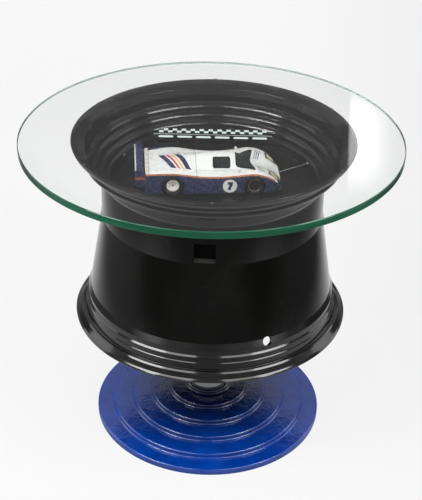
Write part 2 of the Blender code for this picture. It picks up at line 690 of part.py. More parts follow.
def make_axle_set(end, x, radius, width, disc_radius, metals, parent):
    """Axle with two tyres and two wheel discs, about an empty on the axle's line."""
    steel, rubber, alloy = metals
    hub = empty(f"{end}_axle_line", (x, 0, radius), parent=parent)
    outer = TRACK_OUTSIDE / 2
    inner = outer - width
    lay = Matrix.Rotation(-math.pi / 2, 4, 'X')
    rod = prism(circle(AXLE_RADIUS, SMALL_ROUND), -inner + FIT, inner - FIT)
    add(f"model_{end}_axle", placed(rod, lay), steel, parent=hub)
    bore = disc_radius + FIT
    tyre = [(bore, outer, 0), (radius, outer, TYRE_ROUND), (radius, inner, TYRE_ROUND), (bore, inner, 0)]
    dish = width / 4
    disc = [(0, outer - dish, 0), (disc_radius / 3, outer - dish, 0),
            (disc_radius - dish / 2, outer - dish / 3, 0), (disc_radius, outer - dish / 3, 0),
            (disc_radius, inner, 0), (0, inner, 0)]
    for side, sign in (("left", 1), ("right", -1)):
        face = Matrix.Rotation(-sign * math.pi / 2, 4, 'X')
        add(f"model_{end}_tyre_{side}", placed(revolve(tyre, SMALL_ROUND), face), rubber, parent=hub)
        add(f"model_{end}_disc_{side}", placed(revolve(disc, SMALL_ROUND), face), alloy, parent=hub)


def make_wing(material, parent):
    plate_outer = half_width(model_tail)
    plate_inner = plate_outer - PLATE_THICKNESS
    start = model_tail - FIT
    end = start - PLATE_LENGTH
    lay = Matrix.Rotation(math.pi / 2, 4, 'X')
    shape = [(start, PLATE_FOOT), (start, WING_HEIGHT - WING_THICKNESS),
             (start - PLATE_LENGTH / 3, PLATE_HEIGHT), (end, PLATE_HEIGHT),
             (end, PLATE_FOOT + PLATE_LENGTH / 3)]
    for side, low in (("left", -plate_outer), ("right", plate_inner)):
        plate = prism(shape, low, low + PLATE_THICKNESS)
        add(f"model_wing_plate_{side}", placed(plate, lay), material, parent=parent)
    trail = end + FIT
    lead = trail + WING_CHORD
    foil = [(lead, WING_HEIGHT - WING_THICKNESS), (lead - WING_CHORD / 5, WING_HEIGHT - WING_THICKNESS / 4),
            (trail, WING_HEIGHT + WING_THICKNESS), (trail, WING_HEIGHT + WING_THICKNESS / 2),
            (lead - WING_CHORD / 2, WING_HEIGHT - WING_THICKNESS)]
    blade = prism(foil, -plate_inner + FIT, plate_inner - FIT)
    add("model_rear_wing", placed(blade, lay), material, parent=parent)


def make_cockpit(material, parent):
    foot = MODEL_SILL
    rear, front = TUB_PLACE - TUB_LENGTH / 2, TUB_PLACE + TUB_LENGTH / 2
    side = TUB_WIDTH / 2
    tub = box((rear, -side, foot), (front, side, foot + TUB_HEIGHT))
    hollow = box((rear + TUB_WALL, TUB_WALL - side, foot + TUB_WALL),
                 (front - TUB_WALL, side - TUB_WALL, foot + 2 * TUB_HEIGHT))
    combine(add("model_cockpit_tub", tub, material, parent=parent), guide("tub_hollow", hollow, parent))
    low = foot + TUB_WALL + FIT
    back = SEAT_DEPTH / 4
    profile = [(0, low), (SEAT_DEPTH, low), (SEAT_DEPTH, low + back), (back, low + back),
               (0, low + SEAT_HEIGHT), (-back, low + SEAT_HEIGHT)]
    seat = prism([(SEAT_PLACE + x, z) for x, z in profile], -SEAT_WIDTH / 2, SEAT_WIDTH / 2)
    add("model_seat", placed(seat, Matrix.Rotation(math.pi / 2, 4, 'X')), material, parent=parent)


def make_wire(material):
    """Straight wire from the right-hand screw's head to the model's nose."""
    angle = SCREW_TURNS["right"]
    head = ledge_radius - SCREW_HEAD_HEIGHT - 4 * FIT
    start = turned(angle) @ Vector((head, 0, deck + SCREW_ABOVE_FLOOR))
    nose = Vector((model_nose + 2 * FIT + WIRE_RADIUS, 0, 0))
    end = Vector((*MODEL_PLACE, 0)) + turned(MODEL_TURN) @ nose
    end.z = model_ground + WIRE_NOSE_HEIGHT
    run = end - start
    wire = prism(circle(WIRE_RADIUS, SMALL_ROUND // 2), 0, run.length)
    aim = Matrix.Translation(start) @ run.to_track_quat('Z', 'Y').to_matrix().to_4x4()
    add("tie_wire", placed(wire, aim), material)


def stand_on_axis():
    """All but the glass is modelled about the wheel's axis, and carried to its place here."""
    axis = empty("wheel_axis", (*WHEEL_AXIS, 0))
    for item in bpy.data.objects:
        if item.parent is None and item.name not in ("glass_top", axis.name):
            item.parent = axis


def main():
    clear_scene()
    blue = finish("blue_enamel", (0.004, 0.042, 0.36), 0.18, 0.0)
    steel = finish("bright_steel", (0.62, 0.62, 0.61), 0.28, 1.0)
    black = finish("satin_black", (0.011, 0.011, 0.011), 0.42, 0.0)
    gloss = finish("gloss_black", (0.006, 0.006, 0.006), 0.12, 0.0)
    clear = finish("clear_glass", (0.80, 0.93, 0.88), 0.02, 0.0, 0.25)
    rubber = finish("clear_rubber", (0.75, 0.77, 0.76), 0.35, 0.0, 0.6)
    white = finish("white_paint", (0.80, 0.80, 0.78), 0.25, 0.0)
    navy = finish("navy_paint", (0.012, 0.020, 0.085), 0.25, 0.0)
    tinted = finish("tinted_glazing", (0.02, 0.025, 0.03), 0.10, 0.0)
    lens = finish("lamp_lens", (0.75, 0.72, 0.55), 0.10, 0.0)
    tyre = finish("tyre_rubber", (0.012, 0.012, 0.012), 0.75, 0.0)
    alloy = finish("wheel_alloy", (0.72, 0.72, 0.68), 0.30, 0.2)
    bronze = finish("wheel_bronze", (0.16, 0.085, 0.035), 0.35, 0.6)
    trim = finish("cockpit_grey", (0.03, 0.03, 0.032), 0.60, 0.0)

    make_base(blue)
    make_post(steel)
    make_tie_rod(steel)
    make_rim(black)
    make_centre(black)
    make_centre_bolts(steel)
    make_floor(gloss)
    make_screws(steel)
    make_pads(rubber)
    make_glass(clear)

    model = empty("scale_model", (*MODEL_PLACE, model_ground), MODEL_TURN)
    make_body(white, tinted, lens, model)
    make_pan(trim, model)
    make_axle_set("front", FRONT_AXLE, FRONT_TYRE_RADIUS, FRONT_TYRE_WIDTH, FRONT_DISC_RADIUS,
                  (steel, tyre, bronze), model)
    make_axle_set("rear", REAR_AXLE, REAR_TYRE_RADIUS, REAR_TYRE_WIDTH, REAR_DISC_RADIUS,
                  (steel, tyre, alloy), model)
    make_wing(navy, model)
    make_cockpit(trim, model)
    make_wire(steel)
    stand_on_axis()


main()
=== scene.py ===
import math

import bmesh
import bpy
from mathutils import Matrix, Vector, noise


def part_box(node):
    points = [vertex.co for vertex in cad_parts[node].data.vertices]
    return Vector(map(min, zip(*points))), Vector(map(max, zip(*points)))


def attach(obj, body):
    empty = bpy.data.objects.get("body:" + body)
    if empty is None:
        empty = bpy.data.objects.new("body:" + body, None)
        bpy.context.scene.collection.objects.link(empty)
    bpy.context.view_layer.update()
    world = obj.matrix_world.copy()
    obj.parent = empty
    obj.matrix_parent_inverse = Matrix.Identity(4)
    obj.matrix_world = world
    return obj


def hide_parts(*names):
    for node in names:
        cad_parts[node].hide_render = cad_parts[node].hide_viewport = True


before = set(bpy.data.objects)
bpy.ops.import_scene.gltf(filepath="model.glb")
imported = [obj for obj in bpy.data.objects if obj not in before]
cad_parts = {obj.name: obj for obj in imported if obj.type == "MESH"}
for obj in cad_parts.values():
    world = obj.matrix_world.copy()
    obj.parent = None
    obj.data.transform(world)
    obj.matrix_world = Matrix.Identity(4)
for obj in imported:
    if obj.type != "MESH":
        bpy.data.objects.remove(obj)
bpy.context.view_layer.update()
scene = bpy.context.scene
scene.view_settings.view_transform = "Standard"
print("frame:", len(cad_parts), "nodes")


def middle(node):
    low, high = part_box(node)
    return (low + high) / 2


def halfSpan(node):
    low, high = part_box(node)
    return (high.x - low.x) / 2


sides = (("left", 1), ("right", -1))

# the wheel's axis, which the glass lies a little off
axisPlace = Matrix.Translation((*middle("base_casting").xy, 0))


# scale model, in a frame of its own: x ahead, its floor at zero
modelSizes = {"frontAxle": 0.0728, "rearAxle": -0.0553, "gap": 0.0003, "track": 0.093}


def modelPlace():
    s = modelSizes
    front, rear = middle("model_front_axle"), middle("model_rear_axle")
    start = rear.lerp(front, -s["rearAxle"] / (s["frontAxle"] - s["rearAxle"]))
    start.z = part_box("display_floor")[1].z + s["gap"]
    ahead = front - rear
    return Matrix.Translation(start) @ Matrix.Rotation(math.atan2(ahead.y, ahead.x), 4, "Z")


modelFrame = modelPlace()


# a socket of a material: maths on it adds nodes
class Socket:
    def __init__(self, tree, link=None):
        self.tree = tree
        self.link = link

    def add(self, kind, settings, values, output=0):
        node = self.tree.nodes.new("ShaderNode" + kind)
        for key, value in settings.items():
            setattr(node, key, value)
        for key, value in values.items():
            if isinstance(value, Socket):
                self.tree.links.new(value.link, node.inputs[key])
            else:
                node.inputs[key].default_value = value
        return Socket(self.tree, node.outputs[output])

    def math(self, operation, first, second=0.0):
        return self.add("Math", {"operation": operation}, {0: first, 1: second})

    def __add__(self, other):
        return self.math("ADD", self, other)

    def __sub__(self, other):
        return self.math("SUBTRACT", self, other)

    def __rsub__(self, other):
        return self.math("SUBTRACT", other, self)

    def __mul__(self, other):
        return self.math("MULTIPLY", self, other)

    def __gt__(self, other):
        return self.math("GREATER_THAN", self, other)

    def __lt__(self, other):
        return self.math("LESS_THAN", self, other)

    def __abs__(self):
        return self.math("ABSOLUTE", self)

    __radd__ = __add__
    __rmul__ = __mul__

    def mix(self, low, high):
        low, high = (c if isinstance(c, Socket) else (*c, 1.0) for c in (low, high))
        return self.add("Mix", {"data_type": "RGBA"}, {0: self, 6: low, 7: high}, 2)

    def span(self, low, high, start=0.0, end=1.0):
        return self.add("MapRange", {"interpolation_type": "SMOOTHSTEP"},
                        {"Value": self, 1: low, 2: high, 3: start, 4: end})

    def grain(self, scale, detail=3.0, rough=0.55, warp=0.0):
        return self.add("TexNoise", {}, {"Vector": self, "Scale": scale, "Detail": detail,
                                         "Roughness": rough, "Distortion": warp})

    def stretched(self, x, y, z):
        return self.add("VectorMath", {"operation": "MULTIPLY"}, {0: self, 1: (x, y, z)})

    def axis(self, name):
        return self.add("SeparateXYZ", {}, {0: self}, name)

    def reach(self, centre=(0, 0, 0)):
        return self.add("VectorMath", {"operation": "DISTANCE"}, {0: self, 1: centre}, 1)

    def least(self, other):
        return self.math("MINIMUM", self, other)

    def bump(self, strength, distance):
        return self.add("Bump", {}, {"Strength": strength, "Distance": distance, "Height": self})


def newFinish(name, fixed):
    material = bpy.data.materials.new(name)
    material.use_nodes = True
    shader = material.node_tree.nodes["Principled BSDF"]
    for key, value in fixed.items():
        shader.inputs[key].default_value = value
    place = Socket(material.node_tree).add("TexCoord", {}, {}, "Object")
    return material, place


def drive(material, **sockets):
    shader = material.node_tree.nodes["Principled BSDF"]
    names = {"colour": "Base Color", "roughness": "Roughness", "metallic": "Metallic",
             "normal": "Normal", "alpha": "Alpha"}
    for key, value in sockets.items():
        material.node_tree.links.new(value.link, shader.inputs[names[key]])
    return material


def blueEnamel():
    look = {"deep": (0.0010, 0.036, 0.275), "bright": (0.0018, 0.054, 0.370), "hub": (0.0008, 0.006, 0.040),
            "peel": 260.0, "lumps": 55.0, "peelDepth": 0.0006, "lumpDepth": 0.0014}
    material, place = newFinish("blueEnamel", {"Specular IOR Level": 0.9})
    lumps = place.grain(look["lumps"], 2.0)
    peel = place.grain(look["peel"], 3.0, 0.6)
    pooled = place.stretched(1, 1, 0.5).grain(23.0, 4.0, 0.6).span(0.35, 0.68)
    height = lumps * look["lumpDepth"] + peel * look["peelDepth"]
    out = place.stretched(1, 1, 0).reach(axisPlace.translation)
    colour = pooled.mix(look["deep"], look["bright"])
    # painted shade: the enamel blends to the dark hub colour towards the axis, where the wheel above shades
    # the inner treads
    return drive(material, colour=out.span(0.03, 0.205).mix(look["hub"], colour),
                 roughness=peel.span(0.3, 0.75, 0.07, 0.13), normal=height.bump(0.5, 1.0))


def satinBlack():
    look = {"paint": (0.0040, 0.0039, 0.0036), "dust": (0.0085, 0.0083, 0.0078),
            "scuff": (0.050, 0.048, 0.045), "peel": 420.0}
    material, place = newFinish("satinBlack", {"Specular IOR Level": 0.5})
    peel = place.grain(look["peel"], 2.0)
    cloud = place.stretched(1, 1, 0.45).grain(19.0, 5.0, 0.62).span(0.46, 0.80)
    streaks = place.stretched(60, 60, 420).grain(1.0, 4.0, 0.65, 0.6).span(0.62, 0.74)
    handled = place.grain(13.0, 1.0).span(0.56, 0.74)
    scuffs = streaks * handled
    colour = (cloud * 0.7).mix(look["paint"], look["dust"])
    return drive(material, colour=(scuffs * 0.5).mix(colour, look["scuff"]),
                 roughness=cloud.span(0.0, 1.0, 0.10, 0.15) + scuffs * 0.15,
                 normal=(peel * 0.00004 + scuffs * 0.00005).bump(0.35, 1.0))


def plainDark(name, colour):
    material, place = newFinish(name, {"Specular IOR Level": 0.12})
    dust = place.grain(300.0, 3.0).span(0.35, 0.7)
    return drive(material, colour=dust.mix(colour, tuple(c * 1.8 for c in colour)),
                 roughness=dust.span(0.0, 1.0, 0.55, 0.75))


def brightSteel(name, colour, grainAxis, dull=0.16):
    look = {"colour": colour, "worn": tuple(c * 0.72 for c in colour)}
    material, place = newFinish(name, {"Metallic": 1.0})
    lines = place.stretched(*grainAxis).grain(1.0, 4.0, 0.7)
    haze = place.grain(24.0, 3.0).span(0.35, 0.7)
    return drive(material, colour=(haze * 0.6).mix(look["colour"], look["worn"]),
                 roughness=lines.span(0.3, 0.7, dull, dull + 0.14) + haze * 0.06,
                 normal=lines.bump(0.05, 0.0001))


def turnedSteel():
    look = {"bare": (0.76, 0.76, 0.77), "dull": (0.03, 0.03, 0.03)}
    material, place = newFinish("turnedSteel", {})
    lines = place.stretched(40, 40, 2600).grain(1.0, 4.0, 0.7)
    height = place.axis("Z") + place.grain(40.0, 3.0) * 0.002
    # painted shade: above its foot the post takes the dull dark colour, for the part that stands in shade
    # under the wheel
    shadedAbove = height.span(0.0650, 0.0690)
    return drive(material, colour=shadedAbove.mix(look["bare"], look["dull"]),
                 metallic=shadedAbove.span(0.0, 1.0, 0.35, 1.0),
                 roughness=lines.span(0.3, 0.7, 0.38, 0.52), normal=lines.bump(0.04, 0.0001))


def glossBlack():
    look = {"panel": (0.0055, 0.0055, 0.0052), "dust": (0.060, 0.060, 0.057)}
    material, place = newFinish("glossBlack", {"Specular IOR Level": 0.42})
    wipe = place.stretched(9, 30, 9).grain(1.0, 4.0, 0.6, 0.8).span(0.45, 0.8)
    specks = place.grain(900.0, 1.0).span(0.74, 0.79)
    return drive(material, colour=(specks * 0.8 + wipe * 0.06).mix(look["panel"], look["dust"]),
                 roughness=wipe.span(0.0, 1.0, 0.12, 0.26) + specks * 0.3,
                 normal=place.grain(60.0, 2.0).bump(0.03, 0.0004))


def clearGlass():
    look = {"clear": (0.985, 0.995, 0.990), "near": (0.935, 0.970, 0.955)}
    material, place = newFinish("clearGlass", {"IOR": 1.5, "Transmission Weight": 1.0})
    smear = place.stretched(5, 11, 5).grain(1.0, 4.0, 0.6, 1.2).span(0.56, 0.86)
    out = place.stretched(1, 1, 0).reach()
    # painted reflection: the glass is tinted green only near its front edge, where the thick green edge shows
    # through the plate
    near = out.span(0.262, 0.292) * place.axis("Y").span(-0.12, -0.02, 1.0, 0.0)
    return drive(material, colour=near.mix(look["clear"], look["near"]),
                 roughness=smear.span(0.0, 1.0, 0.0, 0.012))


def glassEdge():
    look = {"deep": (0.012, 0.082, 0.044), "light": (0.028, 0.124, 0.078), "far": (0.30, 0.37, 0.34),
            "side": (0.016, 0.048, 0.034)}
    material, place = newFinish("glassEdge", {"Specular IOR Level": 0.25})
    drift = place.stretched(6, 6, 90).grain(1.0, 3.0).span(0.3, 0.75)
    # painted light and shade: the green edge turns light grey towards the back as a painted reflection, and
    # darker at the left and right as painted shade
    side = abs(place.axis("X")).span(0.20, 0.29)
    far = place.axis("Y").span(-0.03, 0.16)
    green = side.mix(drift.mix(look["deep"], look["light"]), look["side"])
    return drive(material, colour=far.mix(green, look["far"]),
                 roughness=place.grain(300.0, 2.0).span(0.3, 0.7, 0.05, 0.14))


def frostedEtch():
    look = {"fine": (0.60, 0.68, 0.65), "coarse": (0.46, 0.55, 0.52)}
    material, place = newFinish("frostedEtch", {"Specular IOR Level": 0.3})
    frost = place.grain(1500.0, 2.0)
    return drive(material, colour=frost.span(0.3, 0.7).mix(look["coarse"], look["fine"]),
                 roughness=frost.span(0.3, 0.7, 0.55, 0.8), normal=frost.bump(0.2, 0.0001))


def clearRubber():
    material, place = newFinish("clearRubber", {"Specular IOR Level": 0.4})
    haze = place.grain(800.0, 2.0).span(0.3, 0.7)
    return drive(material, colour=haze.mix((0.030, 0.032, 0.031), (0.050, 0.052, 0.051)),
                 roughness=haze.span(0.0, 1.0, 0.25, 0.45))


def inModel(place):
    spin = modelFrame.to_euler().z
    return place.add("Mapping", {"vector_type": "TEXTURE"},
                     {"Vector": place, "Location": modelFrame.translation, "Rotation": (0, 0, spin)})


def within(value, limits):
    low, high = limits
    return (value > low) * (value < high)


# what is painted on the model's white body, in the model's own frame
markSizes = {"stripes": ((-0.071, -0.062, "navy"), (-0.059, -0.0555, "red"), (-0.0525, -0.0495, "gold"),
                         (-0.0465, -0.0385, "navy")),
             "slant": 0.45, "deckX": (-0.085, -0.02), "deckY": (-0.030, 0.012), "farSide": (0.25, 0.0565),
             "tail": -0.0925, "tailSeam": (-0.0925, -0.0917), "deckSeam": (-0.0183, -0.0177),
             "doorX": (-0.017, 0.04), "doorY": (0.0272, 0.0276),
             "lampX": (0.0955, 0.1125), "lampY": (0.0205, 0.0385)}


def modelWhite():
    look = {"white": (0.60, 0.605, 0.59), "cream": (0.54, 0.54, 0.52), "navy": (0.008, 0.014, 0.060),
            "red": (0.42, 0.012, 0.010), "gold": (0.62, 0.30, 0.03), "seam": (0.03, 0.03, 0.03),
            "strip": (0.50, 0.47, 0.42)}
    m = markSizes
    material, place = newFinish("modelWhite", {"Coat Weight": 0.4, "Coat Roughness": 0.05})
    spot = inModel(place)
    x, y = spot.axis("X"), spot.axis("Y")
    haze = place.grain(160.0, 3.0).span(0.35, 0.7)
    colour = (haze * 0.5).mix(look["white"], look["cream"])
    slant = x + y * m["slant"]
    deck = within(y, m["deckY"]) * within(x, m["deckX"])
    for low, high, name in m["stripes"]:
        colour = (within(slant, (low, high)) * deck).mix(colour, look[name])
    lean, start = m["farSide"]
    colour = ((y - x * lean) > start).mix(colour, look["navy"])
    colour = (x < m["tail"]).mix(colour, look["strip"])
    lampPatch = within(abs(y), m["lampY"]) * within(x, m["lampX"])
    doors = within(abs(y), m["doorY"]) * within(x, m["doorX"])
    dark = within(x, m["tailSeam"]) + within(x, m["deckSeam"]) + doors + lampPatch
    colour = dark.least(1.0).mix(colour, look["seam"])
    return drive(material, colour=colour, roughness=haze.span(0.0, 1.0, 0.22, 0.34))


def modelGloss(name, deep, light):
    material, place = newFinish(name, {"Coat Weight": 0.4, "Coat Roughness": 0.06})
    haze = place.grain(220.0, 3.0).span(0.35, 0.7)
    return drive(material, colour=haze.mix(deep, light), roughness=haze.span(0.0, 1.0, 0.22, 0.36))


def modelGlazing():
    material, place = newFinish("modelGlazing", {"Specular IOR Level": 0.15})
    smoke = place.grain(90.0, 3.0).span(0.35, 0.7)
    return drive(material, colour=smoke.mix((0.010, 0.011, 0.012), (0.022, 0.023, 0.024)),
                 roughness=smoke.span(0.0, 1.0, 0.10, 0.18), alpha=smoke.span(0.0, 1.0, 0.80, 0.88))


def modelLens():
    material, place = newFinish("modelLens", {"Coat Weight": 0.5, "Coat Roughness": 0.03})
    flutes = place.stretched(1600, 60, 60).grain(1.0, 1.0).span(0.4, 0.6)
    return drive(material, colour=flutes.mix((0.50, 0.44, 0.14), (0.70, 0.66, 0.36)),
                 roughness=flutes.span(0.0, 1.0, 0.08, 0.16))


def modelRubber():
    material, place = newFinish("modelRubber", {"Specular IOR Level": 0.35})
    scuff = place.grain(420.0, 3.0).span(0.4, 0.75)
    return drive(material, colour=scuff.mix((0.006, 0.006, 0.006), (0.018, 0.018, 0.017)),
                 roughness=scuff.span(0.0, 1.0, 0.5, 0.7), normal=scuff.bump(0.1, 0.0001))


def modelTrim():
    material, place = newFinish("modelTrim", {"Specular IOR Level": 0.3})
    mould = place.grain(700.0, 2.0)
    return drive(material, colour=mould.span(0.3, 0.7).mix((0.020, 0.020, 0.020), (0.034, 0.034, 0.033)),
                 roughness=mould.span(0.3, 0.7, 0.5, 0.7), normal=mould.bump(0.15, 0.0001))


print("finishes ready")


# shapes
def arcOutline(corners, step=math.radians(15)):
    points = []
    for index, (r, z, fillet) in enumerate(corners):
        here = Vector((r, z))
        back = Vector(corners[index - 1][:2]) - here
        ahead = Vector(corners[(index + 1) % len(corners)][:2]) - here
        if not fillet:
            points.append(here)
            continue
        half = back.angle(ahead) / 2
        reach = min(fillet / math.tan(half), 0.49 * back.length, 0.49 * ahead.length)
        radius = reach * math.tan(half)
        centre = here + (back.normalized() + ahead.normalized()).normalized() * radius / math.sin(half)
        start = here + back.normalized() * reach - centre
        sweep = start.angle_signed(here + ahead.normalized() * reach - centre)
        count = max(2, math.ceil(abs(sweep) / step))
        points += [centre + Matrix.Rotation(-sweep * k / count, 2) @ start for k in range(count + 1)]
    return points


def lathe(corners, steps=192):
    shape = bmesh.new()
    loop = [shape.verts.new((p.x, 0, p.y)) for p in arcOutline(corners)]
    edges = [shape.edges.new(pair) for pair in zip(loop, loop[1:] + loop[:1])]
    bmesh.ops.spin(shape, geom=loop + edges, cent=(0, 0, 0), axis=(0, 0, 1), angle=2 * math.pi,
                   steps=steps, use_merge=True)
    bmesh.ops.remove_doubles(shape, verts=shape.verts, dist=1e-6)
    bmesh.ops.dissolve_degenerate(shape, edges=shape.edges, dist=1e-6)
    bmesh.ops.recalc_face_normals(shape, faces=shape.faces)
    return shape


def block(low, high, rounding=0.0, along=None, segments=4):
    low, high = Vector(low), Vector(high)
    shape = bmesh.new()
    bmesh.ops.create_cube(shape, size=1.0)
    bmesh.ops.scale(shape, vec=high - low, verts=shape.verts)
    bmesh.ops.translate(shape, vec=(low + high) / 2, verts=shape.verts)
    if rounding:
        edges = [e for e in shape.edges
                 if along is None or abs((e.verts[0].co - e.verts[1].co).normalized()[along]) > 0.9]
        bmesh.ops.bevel(shape, geom=edges, offset=rounding, affect="EDGES", segments=segments,
                        profile=0.5, material=-1)
    return shape


def sweepOutline(outline, low, high):
    shape = bmesh.new()
    face = shape.faces.new([shape.verts.new((x, y, low)) for x, y in outline])
    raised = bmesh.ops.extrude_face_region(shape, geom=[face])["geom"]
    bmesh.ops.translate(shape, vec=(0, 0, high - low),
                        verts=[v for v in raised if isinstance(v, bmesh.types.BMVert)])
    bmesh.ops.recalc_face_normals(shape, faces=shape.faces)
    return shape


def moved(shape, matrix):
    bmesh.ops.transform(shape, matrix=matrix, verts=shape.verts)
    return shape


def joined(shapes):
    whole = bmesh.new()
    for shape in shapes:
        carrier = bpy.data.meshes.new("carrier")
        shape.to_mesh(carrier)
        shape.free()
        whole.from_mesh(carrier)
        bpy.data.meshes.remove(carrier)
    return whole


def loose(shape):
    mesh = bpy.data.meshes.new("loose")
    shape.to_mesh(mesh)
    shape.free()
    item = bpy.data.objects.new("loose", mesh)
    scene.collection.objects.link(item)
    return item


def carve(shape, cutter, operation="DIFFERENCE"):
    blank, tool = loose(shape), loose(cutter)
    step = blank.modifiers.new("cut", "BOOLEAN")
    step.operation = operation
    step.solver = "EXACT"
    step.object = tool
    result = bmesh.new()
    result.from_object(blank, bpy.context.evaluated_depsgraph_get())
    for item in (blank, tool):
        bpy.data.meshes.remove(item.data)
    bmesh.ops.remove_doubles(result, verts=result.verts, dist=1e-7)
    return result


def softened(shape, width, segments=2, angle=40):
    sharp = [e for e in shape.edges if e.is_manifold and e.calc_face_angle() > math.radians(angle)]
    bmesh.ops.bevel(shape, geom=sharp, offset=width, affect="EDGES", segments=segments,
                    profile=0.5, material=-1, clamp_overlap=True)
    return shape


def sliced(shape, point, normal):
    bmesh.ops.bisect_plane(shape, geom=shape.verts[:] + shape.edges[:] + shape.faces[:],
                           plane_co=point, plane_no=normal)


def around(count, start=0.0):
    return [start + 2 * math.pi * k / count for k in range(count)]


def turn(angle):
    return Matrix.Rotation(angle, 4, "Z")


upright = Matrix.Rotation(math.pi / 2, 4, "X")


def ring(radius, count):
    return [(radius * math.cos(a), radius * math.sin(a)) for a in around(count)]


def piece(name, shape, finishes, stands=(), body="table", sharp=35, at=None):
    if at:
        moved(shape, at)
        bmesh.ops.recalc_face_normals(shape, faces=shape.faces)
    mesh = bpy.data.meshes.new(name)
    shape.to_mesh(mesh)
    shape.free()
    mesh.shade_smooth()
    mesh.set_sharp_from_angle(angle=math.radians(sharp))
    for finish in finishes if isinstance(finishes, list) else [finishes]:
        mesh.materials.append(finish)
    item = bpy.data.objects.new(name, mesh)
    scene.collection.objects.link(item)
    flat = item.modifiers.new("flatFaces", "WEIGHTED_NORMAL")
    flat.keep_sharp = True
    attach(item, body)
    if stands:
        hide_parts(*stands)
    return item


def refinish(node, finish):
    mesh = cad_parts[node].data
    mesh.materials.clear()
    mesh.materials.append(finish)


# pedestal base: stepped casting under thick enamel
baseSizes = {"stepRadii": (0.1652, 0.1315, 0.0988, 0.0674), "lip": 0.011, "riser": 0.0087, "hub": 0.0385,
             "wall": 0.008, "nose": 0.0034, "foot": 0.0034, "edge": 0.001, "boreEdge": 0.0006, "round": 0.002,
             "boreGap": 0.0003, "rodHole": 0.0084, "tread": 0.005, "ripple": 0.00007, "rippleSize": 0.024,
             "fineRipple": 3.1, "calm": (0.004, 0.003)}


def makeBase(finish):
    s = baseSizes
    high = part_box("base_casting")[1]
    edge = halfSpan("base_casting")
    post = postSizes["radius"] + s["boreGap"]
    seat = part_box("pedestal_post")[0].z - s["boreGap"]
    under = seat - 2 * s["wall"]
    radii = (edge, *s["stepRadii"], s["hub"])
    tops = [s["lip"] + k * s["riser"] for k in range(len(s["stepRadii"]) + 1)] + [high.z]
    corners = [(s["rodHole"], seat, 0), (post, seat, 0), (post, high.z, s["boreEdge"])]
    for index in range(len(radii) - 1, -1, -1):
        corners.append((radii[index], tops[index], s["nose"]))
        corners.append((radii[index], tops[index - 1] if index else 0, s["foot"] if index else s["edge"]))
    skirt = edge - s["wall"]
    lipUnder = s["lip"] - s["wall"] / 2
    corners += [(skirt, 0, s["edge"]), (skirt, lipUnder, s["round"]),
                (s["stepRadii"][0] - s["wall"] / 2, lipUnder, s["round"]),
                (s["stepRadii"][-1] - s["wall"], under, s["nose"]), (s["rodHole"], under, 0)]
    shape = lathe(corners)
    flat = [e for e in shape.edges if abs(e.verts[0].co.z - e.verts[1].co.z) < 1e-4]
    radial = [e for e in flat if abs(e.verts[0].co.xy.length - e.verts[1].co.xy.length) > s["tread"]]
    bmesh.ops.subdivide_edges(shape, edges=radial, cuts=3, use_grid_fill=True)
    calmPost, calmFloor = s["calm"]
    for vert in shape.verts:
        if vert.co.xy.length > post + calmPost and vert.co.z > calmFloor:
            spot = vert.co / s["rippleSize"]
            drift = noise.noise(spot) + 0.5 * noise.noise(spot * s["fineRipple"])
            vert.co += vert.normal * drift * s["ripple"]
    return piece("baseCasting", shape, finish, ["base_casting"], sharp=50, at=axisPlace)


# steel post with a welded flange under the wheel
postSizes = {"radius": 0.029, "wall": 0.003, "flange": 0.070, "flangeThick": 0.010, "spigot": 0.0297,
             "spigotHeight": 0.008, "weld": 0.005, "edge": 0.0008, "flangeEdge": (0.001, 0.0015)}


def makePost(finish):
    s = postSizes
    low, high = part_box("pedestal_post")
    face = high.z - s["spigotHeight"]
    bore = s["radius"] - s["wall"]
    under = face - s["flangeThick"]
    edge, (above, below) = s["edge"], s["flangeEdge"]
    corners = [(bore, high.z, edge), (s["spigot"], high.z, edge), (s["spigot"], face, 0),
               (s["flange"], face, above), (s["flange"], under, below),
               (s["radius"], under, s["weld"]), (s["radius"], low.z, edge), (bore, low.z, edge)]
    return piece("pedestalPost", lathe(corners, 128), finish, ["pedestal_post"],
                 at=axisPlace)


# wheel rim: one spun barrel with flanges, bead seats, drop centre and the bolting face
rimSizes = {"edgeFace": 0.0085, "lipLow": 0.0116, "lipHigh": 0.008, "flare": 0.0030, "flange": 0.0223,
            "bead": 0.2045, "beadLow": 0.042, "beadHigh": 0.033, "shelf": 0.0137, "cone": 0.199,
            "shoulder": 0.029, "drop": 0.178, "wall": 0.0062, "round": 0.004, "soft": 0.003, "tip": 0.0022,
            "root": 0.002, "hump": (0.0013, 0.004, 0.008), "boltFace": 0.0294, "faceThick": 0.0195,
            "face": 0.159, "faceBore": 0.128, "wellWall": 0.016, "ledge": 0.005, "gap": 0.0003, "edge": 0.001,
            "rings": ((0.2034, 0.0455, 0.0008), (0.2036, 0.0367, 0.0006), (0.2062, 0.0341, 0.0006),
                      (0.2066, 0.0257, 0.0006), (0.2078, 0.0245, 0.0005), (0.2084, 0.0132, 0.0015),
                      (0.2128, 0.0127, 0.0005), (0.2150, 0.0105, 0.0006), (0.2222, 0.0056, 0.0006),
                      (0.2240, 0.0038, 0.0006), (0.2251, 0.0026, 0.0006)),
            "stairs": ((0.1700, 0.0680), (0.1790, 0.0565), (0.1885, 0.0450)), "stair": (0.0018, 0.0095),
            "stairNose": (0.0016, 0.0024), "stairRoot": 0.0018, "stairEdge": 0.0006}
pocketSizes = {"count": 3, "turn": math.radians(-93.2), "width": 0.0330, "height": 0.0325, "depth": 0.0135,
               "foot": 0.0122, "corner": 0.0026}
valveSizes = {"turn": math.radians(-63.4), "radius": 0.0076}


def flangeOutside(top):
    s = rimSizes
    outer = halfSpan("wheel_rim")
    seat = top - s["beadHigh"]
    hump, crest, foot = s["hump"]
    return [(outer, top, s["tip"]), (outer - s["flare"], top - s["lipHigh"], s["round"]),
            (s["bead"] + s["root"], top - s["flange"] + s["root"], s["round"] * 1.4),
            (s["bead"], seat + foot, s["soft"]), (s["bead"] + hump, seat + crest, s["soft"]),
            (s["bead"], seat, s["soft"])]


